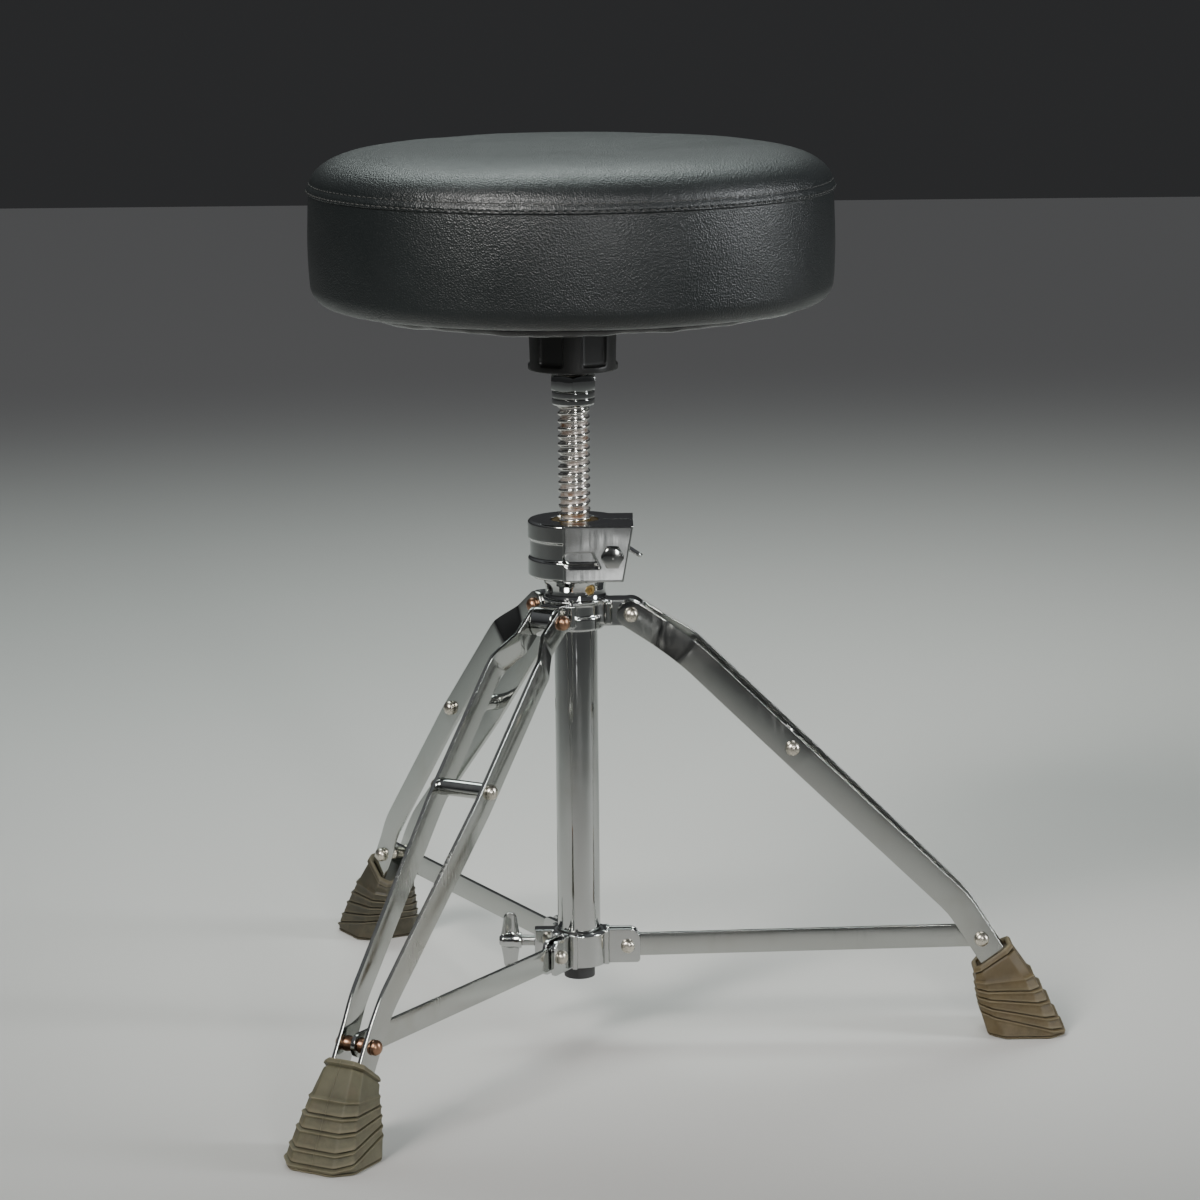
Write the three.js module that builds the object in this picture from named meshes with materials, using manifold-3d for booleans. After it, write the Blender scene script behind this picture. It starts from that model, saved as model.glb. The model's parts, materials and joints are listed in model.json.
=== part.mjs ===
// A folding drum throne: a padded round seat on a screw-adjusted rod, a chromed centre tube with a
// height clamp, and three double-strip folding legs, each braced by a stay to a sliding collar.
// Millimetres, +Z up. Everything is laid out about the centre tube's axis, with the floor at z = 0,
// and the finished throne is then shifted so that its origin is the bottom centre of its box.

import * as THREE from "three";
import { mergeVertices } from "three/addons/utils/BufferGeometryUtils.js";
import Module from "manifold-3d";

const wasm = await Module();
wasm.setup();

// ---------------------------------------------------------------- driving dimensions

const gap = 0.3; // running and fitting clearance between neighbouring pieces
const roundSides = 28; // sides of a turned piece
const smallSides = 10; // sides of a pin, a screw or a hole for one
const seatSides = 40; // sides of the seat and of the board and cover that lie inside it

// Seat: a vinyl cushion on a round board.
const seatRadius = 170;
const seatBottom = 494.6;
const seatSeam = 574.2;
const seatCrown = 597.3;
const seatCrownRise = 3; // how much of the dome is a gentle crown; the rest is its rounded shoulder
const boardRadius = 151.7;
const boardThickness = 12.2;
const coverThickness = 1.2;

// Threaded rod and what is on it.
const rodRadius = 10.5;
const rodBottom = 250;
const rodTop = 482;
const bracketBottom = 450.3;
const lockNut = { bottom: 436.6, height: 10.6, corners: 33 };
const stopRing = { bottom: 427, height: 9.3, radius: 14 };
const guideBush = { flange: 4, cup: 12 }; // its thickness under the rod's end and its height round it
const guideScrewRadius = 2;

// Centre tube.
const tubeRadius = 14.3;
const tubeWall = 2;
const tubeBottom = 50.6;
const tubeTop = 313.9;

// Height clamp and upper hub.
const clampTop = 351.5;
const clampBottom = 314.2;
const clampRadius = 30.9;
const neckRadius = 20.7;
const hubTop = 299.4;
const hubBottom = 278.5;
const clampBolt = { x: 24.5, z: 330.8 };
const clampBossEnd = 31.4; // the boss behind the clamp that the wing nut pulls on
const clampLug = { lowEnd: 31.6, topEnd: 38.4, back: 20 };
const clampSplit = { from: -6.5, to: -3.5 };
const grooveLow = 326.4;
const grooveHigh = 339.6;
const grooveDepth = 1.4;
const insertRadius = 15.4;
const insertBottom = 316;
const neckScrewAzimuths = [211, 300].map(THREE.MathUtils.degToRad);
const neckScrewHeight = 306.6;
const boltHoleRadius = 4.3; // clears an 8 mm bolt

// Legs, in a leg's own frame: x is the distance out from the tube's axis.
const legCount = 3;
const legHinge = { x: 36.4, z: 288.8 };
const legUpperBend = { x: 74.2, z: 263.9 };
const legMiddle = { x: 142.1, z: 199.6 };
const legLowerBend = { x: 253.2, z: 89.6 };
const legPin = { x: 268.4, z: 65.8 };
const stripHeight = 18.4;
const stripThickness = 2.6;
const hingeSpread = 9.6; // strip centre to leg centre at the hinge
const middleSpread = 17.6;
const lowerSpread = 9.6;
const stripPastPin = 34;
const joggleStart = 22; // the strips part between these distances along the leg from the hinge
const joggleEnd = 43;
const drawInMargin = 12; // they start to close this far past the middle rivet and end before the pin

// Stays and the sliding collar.
const collarPin = { x: 32.4, z: 61.6 };
const collarBottom = 50.2;
const collarTop = 73.4;
const collarRadius = 19.1;
const stayHeight = 15.4;
const stayThickness = 3;
const earThickness = 3;

const rivetShank = 3;
const rivetHead = 4.9;
const rivetRim = 1.2; // the straight edge of a rivet's head
const rivetDome = 5.2; // the head's height, its rim included
const stayRivet = { head: 4.6, dome: 4.2 };
const spacerRadius = 5.35;

// Feet, in a leg's own frame.
const footRim = { inner: { x: 261.2, z: 45.7 }, outer: { x: 289, z: 66 }, halfWidth: 14, corner: 4 };
const footSole = { inner: 273.8, outer: 325.3, halfWidth: 25, corner: 9 };
const footSlit = { halfWidth: 2.5, bottom: 50.4 };

// ---------------------------------------------------------------- shape helpers

// A closed geometry as a solid. The winding is turned round where its faces point in.
function solidOf(geometry) {
  const bare = geometry.clone();
  bare.deleteAttribute("normal");
  bare.deleteAttribute("uv");
  const merged = mergeVertices(bare, 1e-4);
  const triangles = [];
  const index = merged.index.array;
  for (let i = 0; i < index.length; i += 3) {
    const [a, b, c] = [index[i], index[i + 1], index[i + 2]];
    if (a !== b && b !== c && c !== a) triangles.push(a, b, c);
  }
  const build = (triVerts) =>
    new wasm.Manifold(
      new wasm.Mesh({
        numProp: 3,
        vertProperties: merged.attributes.position.array,
        triVerts: new Uint32Array(triVerts),
      }),
    );
  const solid = build(triangles);
  return solid.volume() < 0 ? build(triangles.reverse()) : solid;
}

function geometryOf(solid) {
  const mesh = solid.getMesh();
  const geometry = new THREE.BufferGeometry();
  geometry.setAttribute("position", new THREE.BufferAttribute(new Float32Array(mesh.vertProperties), 3));
  geometry.setIndex(new THREE.BufferAttribute(new Uint32Array(mesh.triVerts), 1));
  const faceted = geometry.toNonIndexed();
  faceted.computeVertexNormals();
  return faceted;
}

function join(...geometries) {
  return geometryOf(geometries.map(solidOf).reduce((all, next) => all.add(next)));
}

function cut(base, ...tools) {
  return geometryOf(tools.map(solidOf).reduce((left, tool) => left.subtract(tool), solidOf(base)));
}

// A solid of revolution about Z from [radius, height] points.
function turned(points, segments = roundSides) {
  const profile = points.map(([radius, height]) => new THREE.Vector2(radius, height));
  const lathe = new THREE.LatheGeometry(profile, segments);
  return geometryOf(solidOf(lathe.rotateX(Math.PI / 2)));
}

function disc(radius, bottom, top, segments = roundSides) {
  return turned([[0, bottom], [radius, bottom], [radius, top], [0, top]], segments);
}

function ring(inner, outer, bottom, top, segments = roundSides) {
  return turned(
    [[inner, bottom], [outer, bottom], [outer, top], [inner, top], [inner, bottom]],
    segments,
  );
}

function block(low, high) {
  const size = high.map((value, i) => value - low[i]);
  const middle = high.map((value, i) => (value + low[i]) / 2);
  return new THREE.BoxGeometry(...size).translate(...middle);
}

function hexagon(corners, bottom, height) {
  const outline = new THREE.Shape();
  for (let i = 0; i < 6; i += 1) {
    const angle = (i * Math.PI) / 3;
    const point = [(corners / 2) * Math.cos(angle), (corners / 2) * Math.sin(angle)];
    if (i === 0) outline.moveTo(...point);
    else outline.lineTo(...point);
  }
  return new THREE.ExtrudeGeometry(outline, { depth: height, bevelEnabled: false }).translate(0, 0, bottom);
}

// Stands a shape made about +Z along -Y, so that its height runs towards the front.
const towardsFront = (geometry) => geometry.rotateX(Math.PI / 2);
// Lays a shape made about +Z along +X.
const alongX = (geometry) => geometry.rotateY(Math.PI / 2);
// Lays a shape made about +Z along +Y, the way that a leg's pins run.
const alongY = (geometry) => geometry.rotateX(-Math.PI / 2);

// An outline in a leg's x-z plane, thickened along y from one value to another.
function plate(outline, from, to) {
  const shape = outline instanceof THREE.Shape ? outline : new THREE.Shape(outline);
  const depth = to - from;
  return new THREE.ExtrudeGeometry(shape, { depth, bevelEnabled: false, curveSegments: 4 })
    .rotateX(Math.PI / 2)
    .translate(0, to, 0);
}

function pinHole(place, radius, reach = 60) {
  return alongY(disc(radius, -reach, reach, smallSides)).translate(place.x, 0, place.z);
}

// A skin over rings of points, with a flat cap at each end. Every ring has as many points.
function loft(rings) {
  const count = rings[0].length;
  const positions = rings.flat(2);
  const index = [];
  for (let r = 0; r < rings.length - 1; r += 1) {
    for (let i = 0; i < count; i += 1) {
      const [a, b] = [r * count + i, r * count + ((i + 1) % count)];
      index.push(a, b, b + count, a, b + count, a + count);
    }
  }
  const last = (rings.length - 1) * count;
  for (let i = 1; i < count - 1; i += 1) {
    index.push(0, i + 1, i, last, last + i, last + i + 1);
  }
  const geometry = new THREE.BufferGeometry();
  geometry.setAttribute("position", new THREE.Float32BufferAttribute(positions, 3));
  geometry.setIndex(index);
  return geometry;
}

// ---------------------------------------------------------------- materials

const finish = (color, metalness, roughness) =>
  new THREE.MeshStandardMaterial({ color, metalness, roughness });
const chrome = finish(0xd8dadc, 1, 0.12);
const nickel = finish(0xc9c2b4, 1, 0.35);
const castBlack = finish(0x1b1b1a, 0.4, 0.5);
const vinyl = finish(0x14181a, 0, 0.45);
const plywood = finish(0xa9825a, 0, 0.8);
const dustCover = finish(0x18181a, 0, 0.8);
const nylon = finish(0x26262a, 0, 0.6);
const rubber = finish(0x3a3a2c, 0, 0.85);
const brass = finish(0xb08a48, 1, 0.35);

const throne = new THREE.Group();

function add(name, geometry, material, parent = throne) {
  const mesh = new THREE.Mesh(geometryOf(solidOf(geometry)), material);
  mesh.name = name;
  parent.add(mesh);
  return mesh;
}

// ---------------------------------------------------------------- seat

function addSeat() {
  const cornerRadius = 14;
  const seamInset = 1.2;
  const recess = boardRadius + gap;
  const boardBottom = seatBottom + coverThickness;
  const boardTop = boardBottom + boardThickness;
  const profile = [[0, boardTop + gap], [recess, boardTop + gap], [recess, seatBottom]];
  const cornerSteps = 3;
  for (let i = 0; i <= cornerSteps; i += 1) {
    const angle = (i / cornerSteps) * (Math.PI / 2);
    const out = cornerRadius * Math.sin(angle);
    const up = cornerRadius * (1 - Math.cos(angle));
    profile.push([seatRadius - cornerRadius + out, seatBottom + up]);
  }
  profile.push([seatRadius, seatSeam - 2 * seamInset]);
  const domeSteps = 8;
  for (let i = domeSteps; i >= 0; i -= 1) {
    const share = Math.sin(((i / domeSteps) * Math.PI) / 2);
    profile.push([(seatRadius - seamInset) * share, seatSeam + domeHeight(share)]);
  }
  add("seat_cushion", turned(profile, seatSides), vinyl);

  const screwHole = (radius) => disc(radius, seatBottom - 10, boardBottom + 11, smallSides);
  const screwHoles = (radius) => bracketScrewPlaces().map(([x, y]) => screwHole(radius).translate(x, y, 0));
  const board = disc(boardRadius, boardBottom + gap / 2, boardTop, seatSides);
  add("seat_base_board", cut(board, ...screwHoles(2.4)), plywood);
  const cover = disc(boardRadius, seatBottom - gap, boardBottom - gap / 2, seatSides);
  add("seat_bottom_cover", cut(cover, ...screwHoles(2.6)), dustCover);
}

// The dome's height over the seam: nearly flat, with a shoulder that rounds over at the rim.
function domeHeight(share) {
  const fullness = 9;
  const steepness = 1.55;
  const shoulder = seatCrown - seatSeam - seatCrownRise;
  return shoulder * (1 - share ** fullness) ** (1 / steepness) + seatCrownRise * (1 - share ** 2);
}

const bracketFlange = { radius: 48, thickness: 5, screwCircle: 39.5 };

function bracketScrewPlaces() {
  return [0, 1, 2, 3].map((i) => {
    const angle = ((i + 0.5) * Math.PI) / 2;
    return [bracketFlange.screwCircle * Math.cos(angle), bracketFlange.screwCircle * Math.sin(angle)];
  });
}

// The cast bracket under the seat: a screwed flange and a ribbed, slightly tapered barrel that takes
// the top of the rod, with a boss at the back right for its clamp screw.
const bracketBoltAzimuth = (62 * Math.PI) / 180;
const bracketBoltHeight = 462.5;

function addSeatBracket() {
  const flangeTop = seatBottom - 2 * gap;
  const flangeBottom = flangeTop - bracketFlange.thickness;
  const barrel = turned([
    [0, bracketBottom],
    [29.3, bracketBottom],
    [30.6, flangeBottom - 2],
    [32, flangeBottom],
    [bracketFlange.radius, flangeBottom],
    [bracketFlange.radius, flangeTop],
    [0, flangeTop],
  ]);
  const radially = (shape) => alongX(shape).rotateZ(bracketBoltAzimuth).translate(0, 0, bracketBoltHeight);
  const boss = radially(disc(8, 20, 38, 16));
  const rodBore = disc(rodRadius + gap, bracketBottom - 5, rodTop + gap);
  const boltHole = radially(disc(boltHoleRadius, 5, 60, smallSides));
  const pocketCount = 6;
  const pockets = [];
  for (let i = 0; i < pocketCount; i += 1) {
    const angle = ((i + 0.5) / pocketCount) * 2 * Math.PI - Math.PI / 2;
    if (Math.cos(angle - bracketBoltAzimuth) > 0.85) continue;
    pockets.push(block([26.5, -9, bracketBottom + 4], [45, 9, flangeBottom - 4]).rotateZ(angle));
  }
  const screwHoles = bracketScrewPlaces().map(([x, y]) =>
    disc(2.6, flangeBottom - 2, flangeTop + 2, smallSides).translate(x, y, 0),
  );
  add("seat_bracket", cut(join(barrel, boss), rodBore, boltHole, ...pockets, ...screwHoles), castBlack);

  bracketScrewPlaces().forEach(([x, y], i) => {
    const head = flangeBottom - gap;
    const tip = seatBottom + 11;
    const profile = [[0, head - 3], [3.2, head - 3], [4.6, head], [2, head], [2, tip - 1], [0, tip]];
    const screw = turned(profile, 12);
    add(`bracket_screw_${i + 1}`, screw.translate(x, y, 0), nickel);
  });
}

function addRod() {
  const screwHole = guideScrewRadius + gap;
  const endHole = disc(screwHole, rodBottom - 1, rodBottom + 12, smallSides);
  add("threaded_rod", cut(disc(rodRadius, rodBottom, rodTop), endHole), chrome);
  const nut = hexagon(lockNut.corners, lockNut.bottom, lockNut.height).rotateZ(Math.PI / 6);
  const nutTop = lockNut.bottom + lockNut.height;
  add("rod_lock_nut", cut(nut, disc(rodRadius + gap, lockNut.bottom - 1, nutTop + 1)), chrome);
  const ringTop = stopRing.bottom + stopRing.height;
  add("rod_stop_ring", ring(rodRadius + gap, stopRing.radius, stopRing.bottom, ringTop), chrome);

  // The guide bush is a cup that keeps the rod's lower end central in the tube, and a screw holds it on.
  const bushBottom = rodBottom - guideBush.flange;
  const bushTop = rodBottom + guideBush.cup;
  const bushRadius = tubeRadius - tubeWall - gap;
  const bush = turned([
    [screwHole, bushBottom],
    [bushRadius, bushBottom],
    [bushRadius, bushTop],
    [rodRadius + gap, bushTop],
    [rodRadius + gap, rodBottom - gap],
    [screwHole, rodBottom - gap],
    [screwHole, bushBottom],
  ], 24);
  add("rod_guide_bush", bush, nylon);
  const head = { radius: 4.5, thickness: 2.5, top: bushBottom - gap };
  const screw = turned([
    [0, head.top - head.thickness],
    [head.radius, head.top - head.thickness],
    [head.radius, head.top],
    [guideScrewRadius, head.top],
    [guideScrewRadius, rodBottom + 10],
    [0, rodBottom + 10],
  ], 16);
  add("guide_retaining_screw", screw, nickel);
}

// ---------------------------------------------------------------- wing bolts and nuts

// One wing: a thin blade from the hub outwards, narrower at its rounded tip, in the x-z plane.
function wing(root, tip, hubHeight, reach, thickness) {
  const outline = new THREE.Shape();
  const shoulder = reach - tip / 2;
  outline.moveTo(0, 0);
  outline.lineTo(root, 0);
  outline.lineTo(root, hubHeight);
  outline.lineTo(tip + (root - tip) / 2, shoulder);
  outline.absarc(root / 2, shoulder, tip / 2, 0, Math.PI, false);
  outline.lineTo(0, hubHeight);
  outline.closePath();
  return plate(outline, -thickness / 2, thickness / 2);
}

// A wing screw along +Z: the shank runs down from z = 0, the hub and the wings stand on it.
function wingScrew({ shankRadius, shankLength, hubRadius, hubLength, reach }) {
  const shank = disc(shankRadius, -shankLength, 1, smallSides);
  const hub = turned(
    [[0, 0], [hubRadius, 0], [hubRadius, hubLength * 0.75], [hubRadius * 0.6, hubLength], [0, hubLength]],
    smallSides,
  );
  const blade = () => wing(hubLength, hubLength * 0.55, hubRadius, reach, 3.2).rotateY(-Math.PI / 2);
  return join(shank, hub, blade(), blade().rotateZ(Math.PI));
}

// ---------------------------------------------------------------- centre tube, clamp and hub

function addTube() {
  add("main_tube", ring(tubeRadius - tubeWall, tubeRadius, tubeBottom, tubeTop), chrome);
  const plugBottom = 40.4;
  const plugRadius = 10.3;
  const inside = tubeRadius - tubeWall - gap;
  const plug = turned([
    [0, plugBottom],
    [plugRadius - 2, plugBottom],
    [plugRadius, plugBottom + 2],
    [plugRadius, tubeBottom + gap],
    [inside, tubeBottom + gap],
    [inside, tubeBottom + 12],
    [0, tubeBottom + 12],
  ]);
  add("tube_end_plug", plug, nylon);
}

// The height clamp: a split casting whose round body grips the threaded insert, with a flat-faced
// lug on the right that the clamp bolt draws together, and a neck below that holds the tube.
function addHeightClamp() {
  const chamfer = 1.6;
  const body = turned([
    [0, clampBottom],
    [clampRadius - chamfer, clampBottom],
    [clampRadius, clampBottom + chamfer],
    [clampRadius, grooveLow],
    [clampRadius - grooveDepth, grooveLow + 1],
    [clampRadius - grooveDepth, grooveHigh - 1],
    [clampRadius, grooveHigh],
    [clampRadius, clampTop - chamfer],
    [clampRadius - chamfer, clampTop],
    [0, clampTop],
  ], 40);
  const lugOutline = [
    new THREE.Vector2(0, clampBottom),
    new THREE.Vector2(clampLug.lowEnd, clampBottom),
    new THREE.Vector2(clampLug.topEnd, clampTop),
    new THREE.Vector2(0, clampTop),
  ];
  const lug = plate(lugOutline, -clampRadius, clampLug.back);
  const boss = alongY(disc(9, 0, clampBossEnd, 20)).translate(clampBolt.x, 0, clampBolt.z);
  const neck = turned([
    [0, hubTop + gap],
    [neckRadius, hubTop + gap],
    [neckRadius - 0.8, hubTop + 9],
    [neckRadius + 4, clampBottom + 1],
    [0, clampBottom + 1],
  ]);
  const tubeSocket = disc(tubeRadius + gap, hubTop - 1, tubeTop + gap);
  const rodPassage = disc(rodRadius + 0.6, tubeTop - 2, clampTop + 1);
  const insertBore = disc(insertRadius + gap, insertBottom - gap, clampTop + 1);
  const split = block([12, clampSplit.from, clampBottom - 1], [45, clampSplit.to, clampTop + 1]);
  const boltHole = pinHole(clampBolt, boltHoleRadius);
  const window = plate(roundedSlot(-7.8, 16.2, 323.8, 333.7), -40, -21);
  const grubHoles = neckScrewAzimuths.map((azimuth) => radialHole(3.6, 10, 30, azimuth, neckScrewHeight));
  const casting = cut(
    join(body, lug, boss, neck),
    tubeSocket, rodPassage, insertBore, split, boltHole, window, ...grubHoles,
  );
  add("height_clamp", casting, chrome);

  const insert = ring(rodRadius + gap, insertRadius, insertBottom, clampTop - 1);
  add("threaded_insert", insert, brass);
  neckScrewAzimuths.forEach((azimuth, i) => {
    const screw = radialHole(3.3, tubeRadius + 2 * gap, neckRadius - 1.4, azimuth, neckScrewHeight);
    add(`neck_set_screw_${i + 1}`, screw, i ? brass : castBlack);
  });
}

// A round bar, or the cutter for a hole, that runs out from the axis at an azimuth.
function radialHole(radius, from, to, azimuth, height) {
  return alongX(disc(radius, from, to, smallSides)).rotateZ(azimuth).translate(0, 0, height);
}

function roundedSlot(left, right, low, high) {
  const radius = (high - low) / 2;
  const outline = new THREE.Shape();
  outline.moveTo(left + radius, low);
  outline.lineTo(right, low);
  outline.lineTo(right - radius, high);
  outline.lineTo(left + radius, high);
  outline.absarc(left + radius, low + radius, radius, Math.PI / 2, (3 * Math.PI) / 2, false);
  return outline;
}

function addClampBolt() {
  const front = -clampRadius;
  const boltHead = hexagon(15, 0, 5.5);
  const boltShank = disc(4, -76, 0.5, smallSides);
  const bolt = towardsFront(join(boltHead, boltShank)).translate(clampBolt.x, front - gap, clampBolt.z);
  add("clamp_bolt", bolt, chrome);
  const washerFace = clampBossEnd + gap;
  const washer = alongY(ring(boltHoleRadius, 8, washerFace, washerFace + 1.3, 20));
  add("clamp_washer", washer.translate(clampBolt.x, 0, clampBolt.z), nickel);
  const nut = wingScrew({ shankRadius: 6, shankLength: 0.2, hubRadius: 8, hubLength: 12, reach: 23.5 });
  const bored = cut(nut, disc(boltHoleRadius, -2, 20, smallSides));
  const turn = (32 * Math.PI) / 180;
  const placed = alongY(bored.rotateZ(turn)).translate(clampBolt.x, washerFace + 1.8, clampBolt.z);
  add("clamp_wing_nut", placed, chrome);
}

// The upper hub: a turned body under a thin flange, with a lug for each leg that ends in a barrel.
function addHub() {
  const body = turned([
    [0, hubBottom],
    [17.7, hubBottom],
    [18.7, hubBottom + 1],
    [18.7, hubBottom + 9],
    [17.4, hubBottom + 10],
    [17.4, hubTop - 3],
    [21.5, hubTop - 2],
    [21.5, hubTop],
    [0, hubTop],
  ]);
  const lugHalf = hingeSpread - stripThickness / 2 - gap;
  const lugs = eachLeg((angle) => {
    const arm = block([12, -lugHalf, hubBottom + 1.8], [legHinge.x, lugHalf, hubTop - 1]);
    const barrel = alongY(disc(9.8, -lugHalf, lugHalf, 24)).translate(legHinge.x, 0, legHinge.z);
    return join(arm, barrel).rotateZ(angle);
  });
  const holes = eachLeg((angle) => pinHole(legHinge, rivetShank + gap, lugHalf + 5).rotateZ(angle));
  const bore = disc(tubeRadius + gap, hubBottom - 1, hubTop + 1);
  add("upper_leg_hub", cut(join(body, ...lugs), bore, ...holes), chrome);
}

function eachLeg(make) {
  return Array.from({ length: legCount }, (_, i) => make((i * 2 * Math.PI) / legCount, i + 1));
}

// ---------------------------------------------------------------- legs

// The leg's centre line with its two bends rounded: points with their distance along the strip.
function legLine() {
  const end = {
    x: legPin.x + (stripPastPin * (legPin.x - legLowerBend.x)) / distance(legPin, legLowerBend),
    z: legPin.z + (stripPastPin * (legPin.z - legLowerBend.z)) / distance(legPin, legLowerBend),
  };
  const corners = [legHinge, legUpperBend, legLowerBend, end];
  const bendTangent = 9; // from each corner to where its arc starts
  const points = [legHinge];
  for (let i = 1; i < corners.length - 1; i += 1) {
    const before = towards(corners[i], corners[i - 1], bendTangent);
    const after = towards(corners[i], corners[i + 1], bendTangent);
    const arc = new THREE.QuadraticBezierCurve(
      new THREE.Vector2(before.x, before.z),
      new THREE.Vector2(corners[i].x, corners[i].z),
      new THREE.Vector2(after.x, after.z),
    );
    points.push(...arc.getPoints(2).map((p) => ({ x: p.x, z: p.y })));
  }
  points.push(end);
  return points;
}

function distance(a, b) {
  return Math.hypot(a.x - b.x, a.z - b.z);
}

function towards(from, to, length) {
  const share = length / distance(from, to);
  return { x: from.x + (to.x - from.x) * share, z: from.z + (to.z - from.z) * share };
}

// How far a strip's centre stands from the leg's centre, by distance along the leg from the hinge.
function spreadAt(along) {
  const pinAlong = alongLeg(legPin);
  const middleAlong = alongLeg(legMiddle);
  const stations = [
    [-stripHeight, hingeSpread],
    [joggleStart, hingeSpread],
    [joggleEnd, middleSpread],
    [middleAlong + drawInMargin, middleSpread],
    [pinAlong - drawInMargin, lowerSpread],
  ];
  for (let i = 1; i < stations.length; i += 1) {
    const [[from, low], [to, high]] = [stations[i - 1], stations[i]];
    if (along <= to) return low + ((high - low) * (along - from)) / (to - from);
  }
  return lowerSpread;
}

// The distance along the leg's centre line to a place on it.
function alongLeg(place) {
  const toBend = distance(legHinge, legUpperBend);
  if (place.x <= legUpperBend.x) return distance(legHinge, place);
  if (place.x <= legLowerBend.x) return toBend + distance(legUpperBend, place);
  return toBend + distance(legUpperBend, legLowerBend) + distance(legLowerBend, place);
}

// A leg strip on one side (+1 or -1): a flat bar with a round upper end, joggled outwards below the
// hinge and drawn in again to the foot. grow fattens it, for the sockets that it goes into.
function strip(side, grow = 0) {
  const half = stripHeight / 2 + grow;
  const thick = stripThickness / 2 + grow;
  const line = legLine();
  const heading = (i) => {
    const [a, b] = [line[Math.max(i - 1, 0)], line[Math.min(i + 1, line.length - 1)]];
    const length = distance(a, b);
    return { x: (b.x - a.x) / length, z: (b.z - a.z) / length };
  };
  const stations = [];
  const roundSteps = 4;
  const first = heading(0);
  for (let i = 1; i <= roundSteps; i += 1) {
    const angle = (i / roundSteps) * (Math.PI / 2);
    const back = half * Math.cos(angle);
    stations.push({
      x: legHinge.x - first.x * back, z: legHinge.z - first.z * back, along: -back,
      half: half * Math.sin(angle), heading: first,
    });
  }
  const addBetween = (from, to, headingThere, alongFrom) => {
    const length = distance(from, to);
    for (const along of joggles().filter((a) => a > alongFrom + 1 && a < alongFrom + length - 1)) {
      const place = towards(from, to, along - alongFrom);
      stations.push({ ...place, along, half, heading: headingThere });
    }
  };
  let along = 0;
  for (let i = 1; i < line.length; i += 1) {
    const straight = {
      x: (line[i].x - line[i - 1].x) / distance(line[i], line[i - 1]),
      z: (line[i].z - line[i - 1].z) / distance(line[i], line[i - 1]),
    };
    addBetween(line[i - 1], line[i], straight, along);
    along += distance(line[i], line[i - 1]);
    stations.push({ ...line[i], along, half, heading: i === line.length - 1 ? straight : heading(i) });
  }
  const rings = stations.map(({ x, z, along: there, half: h, heading: way }) => {
    const y = side * spreadAt(there);
    const [nx, nz] = [-way.z * h, way.x * h];
    return [
      [x + nx, y - thick, z + nz],
      [x + nx, y + thick, z + nz],
      [x - nx, y + thick, z - nz],
      [x - nx, y - thick, z - nz],
    ];
  });
  return loft(rings);
}

// Where a strip's joggles start and end, along the leg.
function joggles() {
  return [joggleStart, joggleEnd, alongLeg(legMiddle) + drawInMargin, alongLeg(legPin) - drawInMargin];
}

// A pin across the leg with a domed head at each end. Its shank runs between +-reach.
function rivet(shank, reach, head = rivetHead, dome = rivetDome) {
  const half = [[shank, reach], ...headProfile(reach, head, dome)];
  const mirrored = half.map(([radius, height]) => [radius, -height]).reverse();
  return alongY(turned([...mirrored, ...half], smallSides));
}

// A head's profile from its flat face up: a short rim and a dome over it.
function headProfile(face, head, dome) {
  return [
    [head, face],
    [head, face + rivetRim],
    [head * 0.72, face + rivetRim + (dome - rivetRim) * 0.7],
    [0, face + dome],
  ];
}

// Half of the lower pin: the head outside the strip, the shank through it and the spacer inside,
// which stops just short of the stay's flat face.
function lowerHalfPin(side) {
  const stayFace = stayThickness / 2 + 0.4;
  const inner = lowerSpread - stripThickness / 2 - gap;
  const outer = lowerSpread + stripThickness / 2 + gap;
  const profile = [
    [0, stayFace],
    [rivetHead, stayFace],
    [rivetHead, inner],
    [rivetShank, inner],
    [rivetShank, outer],
    ...headProfile(outer, rivetHead, rivetDome),
  ];
  const pin = alongY(turned(profile, smallSides));
  return side > 0 ? pin : pin.rotateZ(Math.PI);
}

// The foot's outline at a level: 0 is the rim round the strips, 1 is the flat sole.
function footRing(level, grow) {
  const mix = (a, b) => a + (b - a) * level;
  const belly = Math.sin(level * Math.PI);
  const inner = { x: mix(footRim.inner.x, footSole.inner) - 1.5 * belly, z: mix(footRim.inner.z, 0) };
  const outer = { x: mix(footRim.outer.x, footSole.outer) + 2.5 * belly, z: mix(footRim.outer.z, 0) };
  const half = mix(footRim.halfWidth, footSole.halfWidth) + grow;
  const corner = mix(footRim.corner, footSole.corner);
  const length = distance(inner, outer);
  const at = (fromInner, y) => {
    const place = towards(inner, outer, fromInner);
    return [place.x, y, place.z];
  };
  return [
    at(-grow, -half + corner), at(-grow + corner, -half), at(length + grow - corner, -half),
    at(length + grow, -half + corner), at(length + grow, half - corner),
    at(length + grow - corner, half), at(-grow + corner, half), at(-grow, half - corner),
  ];
}

// The rubber foot: a boot with a rim bead, stepped ridges and a flat sole. It has a socket for each
// strip, and a slit between them that lets the stay's round end swing past the rim.
function foot() {
  const steps = [0.3, 0.45, 0.6, 0.75, 0.9];
  const rings = [footRing(0, 1.2), footRing(0.1, 1.2), footRing(0.12, 0)];
  steps.forEach((level) => rings.push(footRing(level, 0), footRing(level + 0.012, 1.1)));
  rings.push(footRing(1, 1.1));
  const slit = block([240, -footSlit.halfWidth, footSlit.bottom], [345, footSlit.halfWidth, 90]);
  return cut(loft(rings), strip(1, gap), strip(-1, gap), slit);
}

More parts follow.
